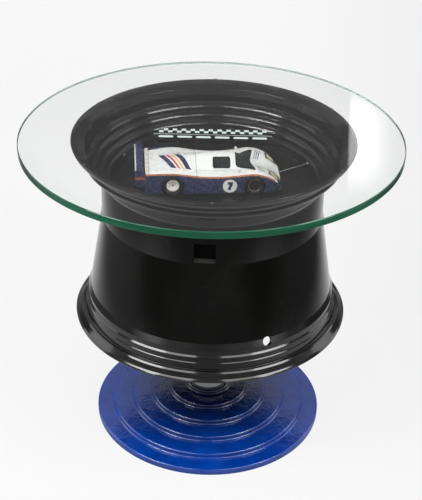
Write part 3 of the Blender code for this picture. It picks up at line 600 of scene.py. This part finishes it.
def flangeInside(edge, inward, lip, beadEnd):
    s = rimSizes
    inner = s["bead"] - s["wall"]
    return [(halfSpan("wheel_rim") - s["edgeFace"], edge, s["tip"]),
            (inner + s["round"], edge + inward * lip, s["soft"]),
            (inner, edge + inward * (s["flange"] - s["round"]), s["soft"]),
            (inner - s["round"] / 4, edge + inward * (beadEnd - s["wall"] / 2), s["soft"])]


def makeRim(finishes):
    s, p, v = rimSizes, pocketSizes, valveSizes
    low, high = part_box("wheel_rim")
    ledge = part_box("display_floor")[0].z - s["gap"]
    floorEdge = s["face"] + s["ledge"]
    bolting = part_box("wheel_centre")[0].z + s["boltFace"] - s["gap"]
    coneFoot = low.z + s["beadLow"] + s["shelf"]
    dropFoot = bolting - p["foot"] - s["round"]
    dropTop = high.z - s["beadHigh"] - s["shoulder"]
    faceUnder = bolting - s["faceThick"]
    corners = flangeOutside(high.z)
    corners += [(s["drop"], dropTop, 2 * s["round"]), (s["drop"], dropFoot, 3 * s["round"]),
                (s["cone"], coneFoot, s["round"] / 2)]
    corners += [(r, low.z + rise, fillet) for r, rise, fillet in s["rings"]]
    corners.append((halfSpan("wheel_rim"), low.z, s["edge"]))
    corners += flangeInside(low.z, 1, s["lipLow"], s["beadLow"])
    corners += [(s["cone"] - s["wall"], coneFoot, s["root"]), (s["face"] + s["round"], faceUnder, s["soft"]),
                (s["faceBore"], faceUnder, 1.5 * s["edge"]), (s["faceBore"], bolting, s["edge"]),
                (s["face"], bolting, s["edge"]), (s["face"], ledge, s["stairEdge"]), (floorEdge, ledge, 0),
                (floorEdge, ledge + s["wellWall"], 1.5 * s["edge"])]
    back, under = s["stairNose"]
    for r, drop in s["stairs"]:
        nose = Vector((r, high.z - drop)) + Vector(s["stair"])
        corners += [(r, high.z - drop, s["stairRoot"]), (nose.x, nose.y - under, s["stairEdge"]),
                    (nose.x + back, nose.y, s["stairEdge"])]
    corners += reversed(flangeInside(high.z, -1, s["lipHigh"], s["beadHigh"]))
    shape = lathe(corners, 216)
    foot = bolting - p["foot"]
    for angle in around(p["count"], p["turn"]):
        cutter = block((s["drop"] - p["depth"], -p["width"] / 2, foot),
                       (s["drop"] + p["depth"], p["width"] / 2, foot + p["height"]), p["corner"], 0)
        shape = carve(shape, moved(cutter, turn(angle)))
    beadEnd = Vector((s["rings"][0][0], 0, low.z + s["rings"][0][1]))
    shelfTop = Vector((s["cone"], 0, coneFoot))
    slope = shelfTop - beadEnd
    outward = Vector((slope.z, 0, -slope.x)).to_track_quat("Z", "Y").to_matrix().to_4x4()
    drill = sweepOutline(ring(v["radius"], 40), -4 * s["wall"], 2 * s["wall"])
    at = turn(v["turn"]) @ Matrix.Translation((beadEnd + shelfTop) / 2) @ outward
    shape = carve(shape, moved(drill, at))
    for face in shape.faces:  # pocket walls get a near-black painted-shade finish, pocket floors a lighter dark one
        spot = face.calc_center_median()
        deep = s["drop"] - p["depth"] - 1e-4 < spot.xy.length < s["drop"] - 2e-4
        beside = foot - 1e-4 < spot.z < foot + p["height"] + 1e-4
        if deep and beside and face.normal.xy.dot(spot.xy.normalized()) > -0.5:
            face.material_index = 2 if face.normal.z > 0.7 else 1
    return piece("wheelRim", shape, finishes, ["wheel_rim"], sharp=38, at=axisPlace)


# spoked centre between the rim's bolting face and the post
centreSizes = {"thick": 0.012, "hub": 0.062, "seat": 0.046, "seatThick": 0.0214, "bore": 0.030,
               "count": 6, "turn": math.radians(26), "spoke": 0.030, "inner": 0.072, "outer": 0.122,
               "corner": 0.008, "boltCircle": 0.1435, "boltHole": 0.0044, "clear": 0.01, "edge": 0.001,
               "softEdge": 0.0008, "fillet": 0.010}


def makeCentre(finish):
    s = centreSizes
    low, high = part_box("wheel_centre")
    edge = halfSpan("wheel_centre")
    under = high.z - s["thick"]
    soft = s["edge"]
    corners = [(s["bore"], low.z + s["seatThick"], soft), (s["seat"], low.z + s["seatThick"], 2 * soft),
               (s["seat"], high.z, 1.5 * soft), (edge, high.z, soft), (edge, under, soft),
               (s["hub"], under, s["fillet"]), (s["hub"], low.z, 2 * soft), (s["bore"], low.z, soft)]
    shape = lathe(corners, 144)
    half = math.pi / s["count"]
    outline = []
    for radius, side in ((s["inner"], -1), (s["outer"], -1), (s["outer"], 1), (s["inner"], 1)):
        angle = side * (half - math.asin(s["spoke"] / 2 / radius))
        outline.append((radius * math.cos(angle), radius * math.sin(angle), s["corner"]))
    window = arcOutline(outline)
    hole = [(s["boltCircle"] + x, y) for x, y in ring(s["boltHole"], 24)]
    for angle in around(s["count"], s["turn"]):
        for cut, place in ((window, angle + half), (hole, angle)):
            shape = carve(shape, moved(sweepOutline(cut, low.z, high.z + s["clear"]), turn(place)))
    shape = softened(shape, s["softEdge"], 2, 60)
    return piece("wheelCentre", shape, finish, ["wheel_centre"], at=axisPlace)


# black panel that the model stands on
def makeDisplayFloor(finish):
    low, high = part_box("display_floor")
    edge = 0.0005
    radius = halfSpan("display_floor")
    corners = [(0, high.z, 0), (radius, high.z, edge), (radius, low.z, edge), (0, low.z, 0)]
    return piece("displayFloor", lathe(corners), finish, ["display_floor"], at=axisPlace)


# domed slotted screws in the wall of the well
screwSizes = {"head": 0.0028, "headHeight": 0.0022, "shank": 0.0014, "length": 0.006, "slot": 0.0006,
              "slotDepth": 0.0009, "slotTurn": 0.5, "rim": 0.0006, "crown": (0.62, 0.00025),
              "point": (0.3, 0.0012)}


def makeScrews(finish):
    s = screwSizes
    for side in ("left", "right"):
        place = middle("well_screw_" + side)
        out = place - axisPlace.translation
        angle = math.atan2(out.y, out.x)
        half = (s["length"] + s["headHeight"] + s["rim"]) / 2
        top = half - s["headHeight"]
        crown, fall = s["crown"]
        tip, taper = s["point"]
        corners = [(0, half, 0), (s["head"] * crown, half - fall, 0.001), (s["head"], top + s["rim"], 0.0005),
                   (s["head"], top, 0.0002), (s["shank"], top, 0.0002), (s["shank"], -half + taper, 0),
                   (s["shank"] * tip, -half, 0), (0, -half, 0)]
        slot = block((-s["head"] * 2, -s["slot"] / 2, half - s["slotDepth"]),
                     (s["head"] * 2, s["slot"] / 2, half * 2))
        shape = carve(lathe(corners, 40), moved(slot, turn(s["slotTurn"])))
        aim = Matrix.Translation(place) @ turn(angle) @ Matrix.Rotation(-math.pi / 2, 4, "Y")
        piece("wellScrew_" + side, moved(shape, aim), finish, ["well_screw_" + side])


# wire from the right screw to the model's nose, on the route that the part's source gives it
wireSizes = {"head": 0.1606, "nose": (0.1172, 0, 0.015), "radius": 0.0006, "points": 16}


def makeWire(finish):
    s = wireSizes
    screw = middle("well_screw_right")
    out = screw - axisPlace.translation
    start = axisPlace @ turn(math.atan2(out.y, out.x)) @ Vector((s["head"], 0, screw.z))
    run = modelFrame @ Vector(s["nose"]) - start
    aim = Matrix.Translation(start) @ run.to_track_quat("Z", "Y").to_matrix().to_4x4()
    wire = piece("tieWire", sweepOutline(ring(s["radius"], 16), 0, run.length), finish,
                 ["tie_wire"], at=aim)


# small clear bumpers under the glass
bumperSizes = {"count": 6, "spread": 0.3, "crown": 0.8, "edge": 0.0005}


def makeBumpers(finish):
    s = bumperSizes
    for number in range(1, s["count"] + 1):
        low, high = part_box(f"glass_pad_{number}")
        place = (low + high) / 2
        radius = s["spread"] * (high.x - low.x)
        corners = [(0, high.z, 0), (radius * s["crown"], high.z, s["edge"]),
                   (radius, low.z + s["edge"], 0.0006), (radius, low.z, 0.0002), (0, low.z, 0)]
        shape = moved(lathe(corners, 32), Matrix.Translation((place.x, place.y, 0)))
        piece(f"bumper_{number}", shape, finish, [f"glass_pad_{number}"])


# glass plate with a ground and polished green edge
glassSizes = {"chamfer": 0.0012, "arris": 0.0005, "flat": 0.003}


def makeGlass(clear, edge):
    s = glassSizes
    low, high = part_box("glass_top")
    inner = high.x - s["chamfer"]
    corners = [(0, high.z, 0), (inner - s["flat"], high.z, 0), (inner, high.z, s["arris"]),
               (high.x, high.z - s["chamfer"], s["arris"]), (high.x, low.z + s["chamfer"], s["arris"]),
               (inner, low.z, s["arris"]), (inner - s["flat"], low.z, 0), (0, low.z, 0)]
    shape = lathe(corners, 288)
    for face in shape.faces:
        face.material_index = 1 if abs(face.normal.z) < 0.95 else 0
    glass = piece("glassTop", shape, [clear, edge], ["glass_top"], "glass")
    glass.visible_shadow = False  # lamps reach the well under the plate
    return glass


# etched motif in the middle of the glass: a chequered band between plain lines
etchSizes = {"width": 0.168, "square": 0.0070, "rows": 2, "depth": 0.00006, "line": 0.0011, "gap": 0.0050,
             "overhang": 0.008, "barHeight": 0.0066, "bars": 6, "barGap": 0.006, "barRound": 0.0026,
             "at": (0.0015, 0.006)}


def makeEtch(finish):
    s = etchSizes
    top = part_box("glass_top")[1].z
    columns = round(s["width"] / s["square"])
    width = columns * s["square"]
    shapes = []
    for row in range(s["rows"]):
        for column in range(row % 2, columns, 2):
            x, y = column * s["square"] - width / 2, row * s["square"]
            shapes.append(block((x, y, 0), (x + s["square"], y + s["square"], s["depth"])))
    lineY = -s["gap"]
    reach = width / 2 + s["overhang"]
    shapes.append(block((-reach, lineY - s["line"], 0), (reach, lineY, s["depth"])))
    pitch = (width + s["barGap"]) / s["bars"]
    barTop = lineY - s["line"] - s["gap"]
    for k in range(s["bars"]):
        x = -width / 2 + k * pitch
        shapes.append(block((x, barTop - s["barHeight"], 0), (x + pitch - s["barGap"], barTop, s["depth"]),
                            s["barRound"], 2))
    shape = moved(joined(shapes), Matrix.Translation((*s["at"], top)))
    return piece("etchedBand", shape, finish, body="glass")


# body shell: x, fender top, middle top, half width
shellSizes = {"stations": ((-0.098, 0.0385, 0.0385, 0.049), (-0.055, 0.0395, 0.0425, 0.050),
                           (-0.010, 0.0335, 0.049, 0.049), (0.022, 0.0325, 0.0525, 0.0485),
                           (0.045, 0.0345, 0.049, 0.049), (0.073, 0.037, 0.033, 0.050),
                           (0.096, 0.030, 0.0245, 0.048), (0.116, 0.014, 0.013, 0.039)),
              "cockpit": 0.52, "shoulder": 0.80, "fall": 0.003, "skin": 0.0016, "sill": 0.005,
              "edge": 0.0018, "rows": 150, "columns": 64, "noseStart": 0.104, "nosePull": 0.42,
              "stripe": 0.935}
openingSizes = {"cut": (0.009, 0.09), "corner": 0.003, "screenMiddle": (0.060, 0.0),
                "screen": ((0.0440, 0.0210, 0.004), (0.0760, 0.0385, 0.003), (0.0680, 0.0, 0.02)),
                "sideX": (0.008, 0.036), "sideY": (0.006, 0.030), "sideZ": (0.0338, 0.0480),
                "lampX": (0.098, 0.110), "lampY": (0.023, 0.036),
                "archGap": 0.0022, "archSpan": (0.0235, 0.06), "slits": 3, "slitLength": 0.026,
                "slitWidth": 0.0011, "slitHeight": 0.03, "slitPitch": 0.0032,
                "slitAt": (0.0815, 0.024, 0.0280), "slitTurn": math.radians(77)}
wheelSizes = {"front": {"radius": 0.015, "width": 0.0125, "disc": 0.0104, "spokes": 10},
              "rear": {"radius": 0.016, "width": 0.0145, "disc": 0.0100}}


def shellAt(x, column):
    stations = shellSizes["stations"]
    last = len(stations) - 1
    index = max(k for k in range(last) if stations[k][0] <= x or k == 0)
    x0, x1 = stations[index][0], stations[index + 1][0]
    t = min(max((x - x0) / (x1 - x0), 0.0), 1.0)

    def slope(k):
        low, high = max(k - 1, 0), min(k + 1, last)
        return (stations[high][column] - stations[low][column]) / (stations[high][0] - stations[low][0])

    p0, p1 = stations[index][column], stations[index + 1][column]
    m0, m1 = slope(index) * (x1 - x0), slope(index + 1) * (x1 - x0)
    return ((2 * t ** 3 - 3 * t ** 2 + 1) * p0 + (t ** 3 - 2 * t ** 2 + t) * m0
            + (3 * t ** 2 - 2 * t ** 3) * p1 + (t ** 3 - t ** 2) * m1)


def shellHalf(x):
    s = shellSizes
    end = s["stations"][-1][0]
    pull = max(0.0, (x - s["noseStart"]) / (end - s["noseStart"]))
    return shellAt(x, 3) * (1 - s["nosePull"] * pull ** 3)


def shellTop(x, share):
    s = shellSizes
    fender, roof = shellAt(x, 1), shellAt(x, 2)
    hump = max(0.0, 1 - (abs(share) / s["cockpit"]) ** 2) ** 1.5
    fall = max(0.0, (abs(share) - s["shoulder"]) / (1 - s["shoulder"])) ** 2
    return fender + (roof - fender) * hump - s["fall"] * fall


def shellSolid(inset):
    s = shellSizes
    tail, nose = s["stations"][0][0] + inset, s["stations"][-1][0] - inset
    shape = bmesh.new()
    bmesh.ops.create_grid(shape, x_segments=s["rows"], y_segments=s["columns"], size=1.0)
    for vert in shape.verts:
        x = tail + (nose - tail) * (vert.co.x + 1) / 2
        share = math.sin(vert.co.y * math.pi / 2)
        vert.co = (x, share * (shellHalf(x) - inset), shellTop(x, share) - inset)
    rim = [e for e in shape.edges if e.is_boundary]
    skirt = bmesh.ops.extrude_edge_only(shape, edges=rim)["geom"]
    for vert in [v for v in skirt if isinstance(v, bmesh.types.BMVert)]:
        vert.co.z = s["sill"] - inset
    if not inset:
        bmesh.ops.bevel(shape, geom=rim, offset=s["edge"], affect="EDGES", segments=3,
                        profile=0.5, material=-1)
    bmesh.ops.holes_fill(shape, edges=[e for e in shape.edges if e.is_boundary])
    bmesh.ops.recalc_face_normals(shape, faces=shape.faces)
    return shape


def shellSkin():
    return carve(shellSolid(0), shellSolid(shellSizes["skin"]))


def openings(shrink=0.0):
    s = openingSizes
    sill, roof = s["cut"]
    half = list(s["screen"])
    outline = half + [(x, -y, r) for x, y, r in half[1::-1]]
    centre = Vector(s["screenMiddle"])
    pulled = []
    for x, y, r in outline:
        spot = Vector((x, y))
        pulled.append((*(spot + (centre - spot).normalized() * shrink), r))
    shapes = {"windscreen": sweepOutline(arcOutline(pulled), sill, roof)}
    for side, sign in sides:
        for name, x, y, z, along in (("side_window_", s["sideX"], s["sideY"], s["sideZ"], 1),
                                     ("headlight_", s["lampX"], s["lampY"], None, 2)):
            y0, y1 = sorted(sign * (edge + d) for edge, d in zip(y, (shrink, -shrink)))
            z0, z1 = (z[0] + shrink, z[1] - shrink) if z else (sill, roof)
            shapes[name + side] = block((x[0] + shrink, y0, z0), (x[1] - shrink, y1, z1), s["corner"], along)
    return shapes


def wheelHoles():
    s = openingSizes
    near, far = s["archSpan"]
    shapes = []
    for end, w in wheelSizes.items():
        lay = Matrix.Translation((modelSizes[end + "Axle"], 0, w["radius"])) @ upright
        for low, high in ((-far, -near), (near, far)):
            shapes.append(moved(sweepOutline(ring(w["radius"] + s["archGap"], 56), low, high), lay))
    return shapes


def airSlits():
    s = openingSizes
    shapes = []
    x, y, z = s["slitAt"]
    long, wide = s["slitLength"] / 2, s["slitWidth"] / 2
    for sign in (1, -1):
        for k in range(s["slits"]):
            slit = block((-long, -wide, 0), (long, wide, s["slitHeight"]))
            at = (x + (k - 1) * s["slitPitch"], sign * y, z)
            shapes.append(moved(slit, Matrix.Translation(at) @ turn(sign * s["slitTurn"])))
    return shapes


def makeShell(paints, glazing, lens):
    s = shellSizes
    shape = shellSkin()
    for cutters in (openings().values(), wheelHoles(), airSlits()):
        shape = carve(shape, joined(cutters))
    for face in shape.faces:
        spot = face.calc_center_median()
        if abs(face.normal.z) < 0.4:
            face.material_index = 1
        elif abs(spot.y) / shellHalf(spot.x) > s["stripe"] and spot.x < s["noseStart"]:
            face.material_index = 2
        else:
            face.material_index = 0
    piece("modelBody", shape, paints, ["model_body"], at=modelFrame)
    for name, cutter in openings(modelSizes["gap"]).items():
        pane = carve(shellSkin(), cutter, "INTERSECT")
        finish, slot = (lens, "model_lens") if "headlight" in name else (glazing, "model_glazing")
        piece("pane_" + name, pane, finish, ["model_" + name], at=modelFrame)


# number discs on the doors
roundelSizes = {"at": (0.0336, 0.0162), "radius": 0.0112, "thick": 0.0004, "edge": 0.0001, "digit": 0.0138,
                "bar": 0.0038, "stroke": 0.0042, "leg": 0.0008, "lean": -0.32}


def makeRoundels(pale, dark):
    s = roundelSizes
    x, z = s["at"]
    high, deep, half = s["digit"] / 2, 2 * s["thick"], s["stroke"] / 2
    for side, sign in sides:
        disc = lathe([(0, s["thick"], 0), (s["radius"], s["thick"], s["edge"]), (s["radius"], 0, 0),
                      (0, 0, 0)], 64)
        top = block((-s["bar"], high - s["stroke"], 0), (s["bar"], high, deep))
        leg = block((-half, -high, 0), (half, high, deep))
        digit = joined([top, moved(leg, Matrix.Translation((s["leg"], 0, 0)) @ turn(s["lean"]))])
        for face in digit.faces:
            face.material_index = 1
        stand = Matrix.Rotation(-sign * math.pi / 2, 4, "X") @ turn(0 if sign < 0 else math.pi)
        at = modelFrame @ Matrix.Translation((x, sign * shellHalf(x), z)) @ stand
        piece("numberDisc_" + side, joined([disc, digit]), [pale, dark], at=at)


# rear wing between its end plates
wingSizes = {"chord": 0.0150, "thick": 0.0032, "height": 0.0405, "plateThick": 0.0022, "plateLength": 0.0160,
             "plateFoot": 0.013, "plateHeight": 0.045, "plateEdge": 0.0003, "lip": 0.0022,
             "stripe": (0.029, 0.0335)}


def makeWing(navy, pale, orange):
    s = wingSizes
    gap = modelSizes["gap"]
    tail = shellSizes["stations"][0][0]
    start = tail - gap
    end = start - s["plateLength"]
    outer = shellAt(tail, 3)
    third = s["plateLength"] / 3
    corners = [(start, s["plateFoot"], 0.001), (start, s["height"] - s["thick"], 0.002),
               (start - third, s["plateHeight"], 0.004), (end, s["plateHeight"], 0.003),
               (end, s["plateFoot"] + third, 0.004)]
    lower, upper = s["stripe"]
    for side, sign in sides:
        low, high = sorted((sign * outer, sign * (outer - s["plateThick"])))
        plate = moved(softened(sweepOutline(arcOutline(corners), -high, -low), s["plateEdge"]), upright)
        for level in s["stripe"]:
            sliced(plate, (0, 0, level), (0, 0, 1))
        for face in plate.faces:
            face.material_index = 1 if lower < face.calc_center_median().z < upper else 0
        piece("wingPlate_" + side, plate, [navy, orange], ["model_wing_plate_" + side],
              at=modelFrame)
    inner = outer - s["plateThick"] - gap
    trail = end + gap
    lead = trail + s["chord"]
    h, t, c = s["height"], s["thick"], s["chord"]
    foil = [(lead, h - t, 0.0006), (lead - c / 5, h - t / 4, 0.006), (trail, h + t, 0.0003),
            (trail, h + t / 2, 0.0003), (lead - c / 2, h - t, 0.008)]
    blade = moved(sweepOutline(arcOutline(foil), -inner, inner), upright)
    sliced(blade, (trail + s["lip"], 0, 0), (1, 0, 0))
    for face in blade.faces:
        face.material_index = 1 if face.calc_center_median().x < trail + s["lip"] else 0
    piece("rearWing", blade, [navy, pale], ["model_rear_wing"], at=modelFrame)


# model wheels: spoked discs in front, flat covers behind
def frontDisc(w, outer, inner, face, dish):
    r, floor = w["disc"], outer - 2 * dish
    corners = [(0, floor, 0), (r - 0.0014, floor, 0.0006), (r - 0.0011, face, 0.0002), (r, face, 0.0002),
               (r, inner, 0.0002), (0, inner, 0)]
    nut = [(0, face - 0.0002, 0), (0.0016, face - 0.0002, 0.0003), (0.0024, floor, 0), (0, floor, 0)]
    shapes = [lathe(corners, 72), lathe(nut, 32)]
    for angle in around(w["spokes"]):
        spoke = block((0.0014, -0.00055, floor), (r - 0.0010, 0.00055, face - 0.0004), 0.0002, 0, 2)
        shapes.append(moved(spoke, turn(angle)))
    wheel = joined(shapes)
    for part in wheel.faces:
        part.material_index = 1 if part.calc_center_median().xy.length > r - 0.0012 else 0
    return wheel


def rearDisc(w, outer, inner, face, dish):
    r, floor = w["disc"], outer - dish
    corners = [(0, floor, 0), (r * 0.28, floor, 0.0003), (r * 0.34, floor + 0.0006, 0.0003),
               (r - 0.0012, face, 0.0006), (r, face - 0.0002, 0.0002), (r, inner, 0.0002), (0, inner, 0)]
    nut = lathe([(0, floor + 0.0009, 0), (0.0013, floor + 0.0009, 0.0002), (0.0015, floor - 0.0002, 0),
                 (0, floor - 0.0002, 0)], 6)
    for part in nut.faces:
        part.material_index = 1
    return joined([lathe(corners, 72), nut])


def makeModelWheels(rubber, frontFinishes, rearFinishes):
    discs = {"front": (frontDisc, frontFinishes, "model_bronze"),
             "rear": (rearDisc, rearFinishes, "model_alloy")}
    for end, w in wheelSizes.items():
        outer = modelSizes["track"] / 2
        inner = outer - w["width"]
        r, bore = w["radius"], w["disc"] + modelSizes["gap"]
        wall = (r + bore) / 2
        tyre = [(bore, outer - 0.0008, 0.0003), (bore + 0.0010, outer - 0.0002, 0.0004),
                (wall, outer, 0.0010), (wall + 0.0004, outer - 0.0003, 0.0002), (wall + 0.0008, outer, 0.0004),
                (r, outer - 0.0003, 0.0022), (r, inner, 0.0022), (bore, inner, 0.0004)]
        dish = w["width"] / 4
        face = outer - dish / 3
        disc, finishes, slot = discs[end]
        body = end + "_axle_set"
        for side, sign in sides:
            lay = Matrix.Rotation(-sign * math.pi / 2, 4, "X")
            at = modelFrame @ Matrix.Translation((modelSizes[end + "Axle"], 0, r)) @ lay
            piece(f"{end}Tyre_{side}", lathe(tyre, 72), rubber,
                  [f"model_{end}_tyre_{side}"], body, at=at)
            piece(f"{end}Disc_{side}", disc(w, outer, inner, face, dish), finishes,
                  [f"model_{end}_disc_{side}"], body, at=at)


# mirrors on the front fenders
trimSizes = {"mirrorAt": (0.049, 0.0395), "mirror": (0.0040, 0.0055, 0.0036), "mirrorRound": 0.0013,
             "stalk": 0.0022, "stalkHalf": (0.0005, 0.0006), "sunk": 0.0006, "turn": 0.2}


def makeTrim(paint):
    s = trimSizes
    x, y = s["mirrorAt"]
    deep, wide, tall = s["mirror"]
    thin, broad = s["stalkHalf"]
    foot = shellTop(x, y / shellHalf(x)) - s["sunk"]
    for side, sign in sides:
        stalk = block((-thin, -broad, 0), (thin, broad, s["stalk"] + 0.0012), 0.0002)
        head = block((-deep / 2, -wide / 2, s["stalk"]), (deep / 2, wide / 2, s["stalk"] + tall),
                     s["mirrorRound"])
        at = modelFrame @ Matrix.Translation((x, sign * y, foot)) @ turn(sign * s["turn"])
        piece("mirror_" + side, joined([stalk, head]), paint, at=at)


enamel, paint, panel = blueEnamel(), satinBlack(), glossBlack()
postSteel = turnedSteel()
zincSteel = brightSteel("zincSteel", (0.56, 0.57, 0.58), (500, 500, 500))
makeBase(enamel)
print("base done")
makePost(postSteel)
# pocketShade is painted shade for the recessed pocket walls; the pocket floors get a lighter dark finish
pocketShade = plainDark("pocketShade", (0.0012, 0.0012, 0.0012))
pocketFloor = plainDark("pocketFloor", (0.020, 0.020, 0.019))
makeRim([paint, pocketShade, pocketFloor])
makeCentre(paint)
print("wheel done")
makeDisplayFloor(panel)
makeScrews(zincSteel)
makeWire(modelGloss("wirePale", (0.22, 0.22, 0.22), (0.30, 0.30, 0.30)))
makeBumpers(clearRubber())
makeGlass(clearGlass(), glassEdge())
makeEtch(frostedEtch())
for node in ("tie_rod", "lower_washer", "lower_nut", "clamp_plate", "upper_nut"):
    refinish(node, zincSteel)
for number in range(1, 7):
    refinish(f"centre_bolt_{number}", zincSteel)
print("table done")

whitePaint = modelWhite()
navyPaint = modelGloss("modelNavy", (0.018, 0.024, 0.064), (0.026, 0.033, 0.078))
orangePaint = modelGloss("modelOrange", (0.25, 0.080, 0.022), (0.31, 0.105, 0.030))
makeShell([whitePaint, navyPaint, orangePaint], modelGlazing(), modelLens())
makeRoundels(modelGloss("modelPale", (0.60, 0.61, 0.58), (0.66, 0.67, 0.64)), navyPaint)
makeWing(navyPaint, whitePaint, orangePaint)
bronzeAlloy = brightSteel("bronzeAlloy", (0.30, 0.20, 0.10), (900, 900, 900))
coverWhite = modelGloss("coverWhite", (0.64, 0.61, 0.56), (0.70, 0.67, 0.62))
paleAlloy = brightSteel("paleAlloy", (0.80, 0.74, 0.62), (700, 700, 700))
makeModelWheels(modelRubber(), [bronzeAlloy, paleAlloy], [coverWhite, bronzeAlloy])
makeTrim(whitePaint)
trimGrey = modelTrim()
for node in ("model_floor_pan", "model_cockpit_tub", "model_seat"):
    refinish(node, trimGrey)
for node in ("model_front_axle", "model_rear_axle"):
    refinish(node, zincSteel)
print("model done")


# floor, studio light and camera
stageSizes = {"half": 9.0, "through": 0.13, "glow": 0.81, "shade": 0.12, "bounce": 0.45,
              "front": 0.10, "left": 0.22, "right": 0.09, "back": 0.85}
cameraSizes = {"lens": 87.74, "aim": (0.0029, 0.0106, 0.3162), "distance": 2.0123,
               "pitch": math.radians(30.98), "roll": math.radians(1.362)}
lamps = {"leftInner": {"at": (-0.68, -1.22, 1.80), "size": (0.80, 0.5), "glow": 5.5},
         "leftOuter": {"at": (-1.30, -0.76, 1.64), "size": (0.85, 0.5), "glow": 15.0},
         "rightInner": {"at": (0.68, -1.22, 1.80), "size": (0.80, 0.5), "glow": 4.5},
         "rightOuter": {"at": (1.30, -0.76, 1.64), "size": (0.85, 0.5), "glow": 12.0},
         "leftSoft": {"at": (-1.8, 0.4, 1.05), "size": (0.9, 1.3), "glow": 2.0},
         "rightSoft": {"at": (1.8, 0.6, 1.0), "size": (0.8, 1.2), "glow": 2.0}}


def grey(level):
    return (level, level, level)


def seenDirectly(start):
    names = ("Is Camera Ray", "Is Glossy Ray", "Is Transmission Ray")
    camera, glossy, through = (start.add("LightPath", {}, {}, name) for name in names)
    return (camera + glossy + through).least(1.0)


def makeStage():
    s = stageSizes
    shape = bmesh.new()
    bmesh.ops.create_grid(shape, x_segments=1, y_segments=1, size=s["half"])
    mesh = bpy.data.meshes.new("floor")
    shape.to_mesh(mesh)
    shape.free()
    floor = bpy.data.objects.new("floor", mesh)
    scene.collection.objects.link(floor)
    material = bpy.data.materials.new("paleFloor")
    material.use_nodes = True
    tree = material.node_tree
    tree.nodes.clear()
    start = Socket(tree)
    plain = start.add("BsdfDiffuse", {}, {"Color": (*grey(s["bounce"]), 1)})
    shaded = start.add("BsdfDiffuse", {}, {"Color": (*grey(s["shade"]), 1)})
    spot = start.add("TexCoord", {}, {}, "Object")
    x, y = spot.axis("X"), spot.axis("Y")
    # painted light and shade: in reflections the floor is bright behind the table and dim in front and at the
    # sides, and it is darker under the table as a painted shadow
    level = x.span(-0.9, -0.5, s["left"], s["back"]).least(x.span(0.5, 0.9, s["back"], s["right"]))
    level = level * y.span(-0.80, -0.32, s["front"], 1.0) * spot.reach().span(0.15, 0.24, 0.15, 1.0)
    # painted light: the floor's glow rises a little towards the back and falls a little to the right
    glow = x.span(0.1, 0.7, s["glow"], s["glow"] - 0.06) + y.span(0.2, 3.0, 0.0, 0.08)
    through = start.add("LightPath", {}, {}, "Is Transmission Ray")
    lit = start.add("Emission", {}, {"Strength": glow * (through * s["through"] + 1.0)})
    seen = start.add("AddShader", {}, {0: shaded, 1: lit})
    glossy = start.add("LightPath", {}, {}, "Is Glossy Ray") * (1.0 - through)
    mirrored = start.add("Emission", {}, {"Strength": level})
    pale = start.add("MixShader", {}, {0: glossy, 1: seen, 2: mirrored})
    shown = start.add("MixShader", {}, {0: seenDirectly(start), 1: plain, 2: pale})
    output = tree.nodes.new("ShaderNodeOutputMaterial")
    tree.links.new(shown.link, output.inputs["Surface"])
    mesh.materials.append(material)


def makeWorld():
    world = bpy.data.worlds.new("studio")
    scene.world = world
    world.use_nodes = True
    tree = world.node_tree
    start = Socket(tree)
    direction = start.add("TexCoord", {}, {}, "Generated")
    up = direction.axis("Z")
    x, y = direction.axis("X"), direction.axis("Y")
    room = up.span(0.12, 0.36).mix(grey(0.50), (0.15, 0.15, 0.152))
    room = up.span(0.495, 0.54).mix(room, grey(0.62))
    room = up.span(0.70, 0.80).mix(room, grey(0.36))
    band = up.span(0.42, 0.50, 1.0, 0.0) * abs(x).span(0.05, 0.4, 0.08, 0.22)
    flanks = up.span(0.17, 0.25, 1.0, 0.0) * abs(x).span(0.55, 0.78, 0.0, 0.78)
    front = (up.span(0.04, 0.14) * (band + flanks)).mix(grey(0.11), grey(2.2))
    front = up.span(0.55, 0.70).mix(front, grey(0.45))
    room = y.span(-0.45, 0.15).mix(front, room)
    patch = x.span(0.1085, 0.1115) * x.span(0.116, 0.150, 1.0, 0.0)  # one small glint at the back
    patch = patch * up.span(0.385, 0.42) * up.span(0.44, 0.475, 1.0, 0.0)
    room = (patch * (y > 0)).mix(room, grey(1.7))
    white = start.add("LightPath", {}, {}, "Is Camera Ray")
    colour = white.mix(room, grey(0.95))
    tree.links.new(colour.link, tree.nodes["Background"].inputs["Color"])


def makeLamps():
    for name, s in lamps.items():
        light = bpy.data.lights.new(name, "AREA")
        light.shape = "RECTANGLE"
        light.size, light.size_y = s["size"]
        light.energy = s["glow"] * math.pi * s["size"][0] * s["size"][1]
        lamp = bpy.data.objects.new(name, light)
        aim = Vector((0, 0, 0.3)) - Vector(s["at"])
        lamp.matrix_world = Matrix.Translation(s["at"]) @ aim.to_track_quat("-Z", "Y").to_matrix().to_4x4()
        lamp.visible_camera = False
        scene.collection.objects.link(lamp)


def makeCamera():
    s = cameraSizes
    camera = bpy.data.objects.new("camera", bpy.data.cameras.new("camera"))
    camera.data.lens = s["lens"]
    back = Vector((0, -math.cos(s["pitch"]), math.sin(s["pitch"])))
    tilt = Matrix.Rotation(math.pi / 2 - s["pitch"], 4, "X") @ Matrix.Rotation(s["roll"], 4, "Z")
    camera.matrix_world = Matrix.Translation(Vector(s["aim"]) + back * s["distance"]) @ tilt
    scene.collection.objects.link(camera)
    scene.camera = camera


makeStage()
makeWorld()
makeLamps()
makeCamera()
print("stage done")
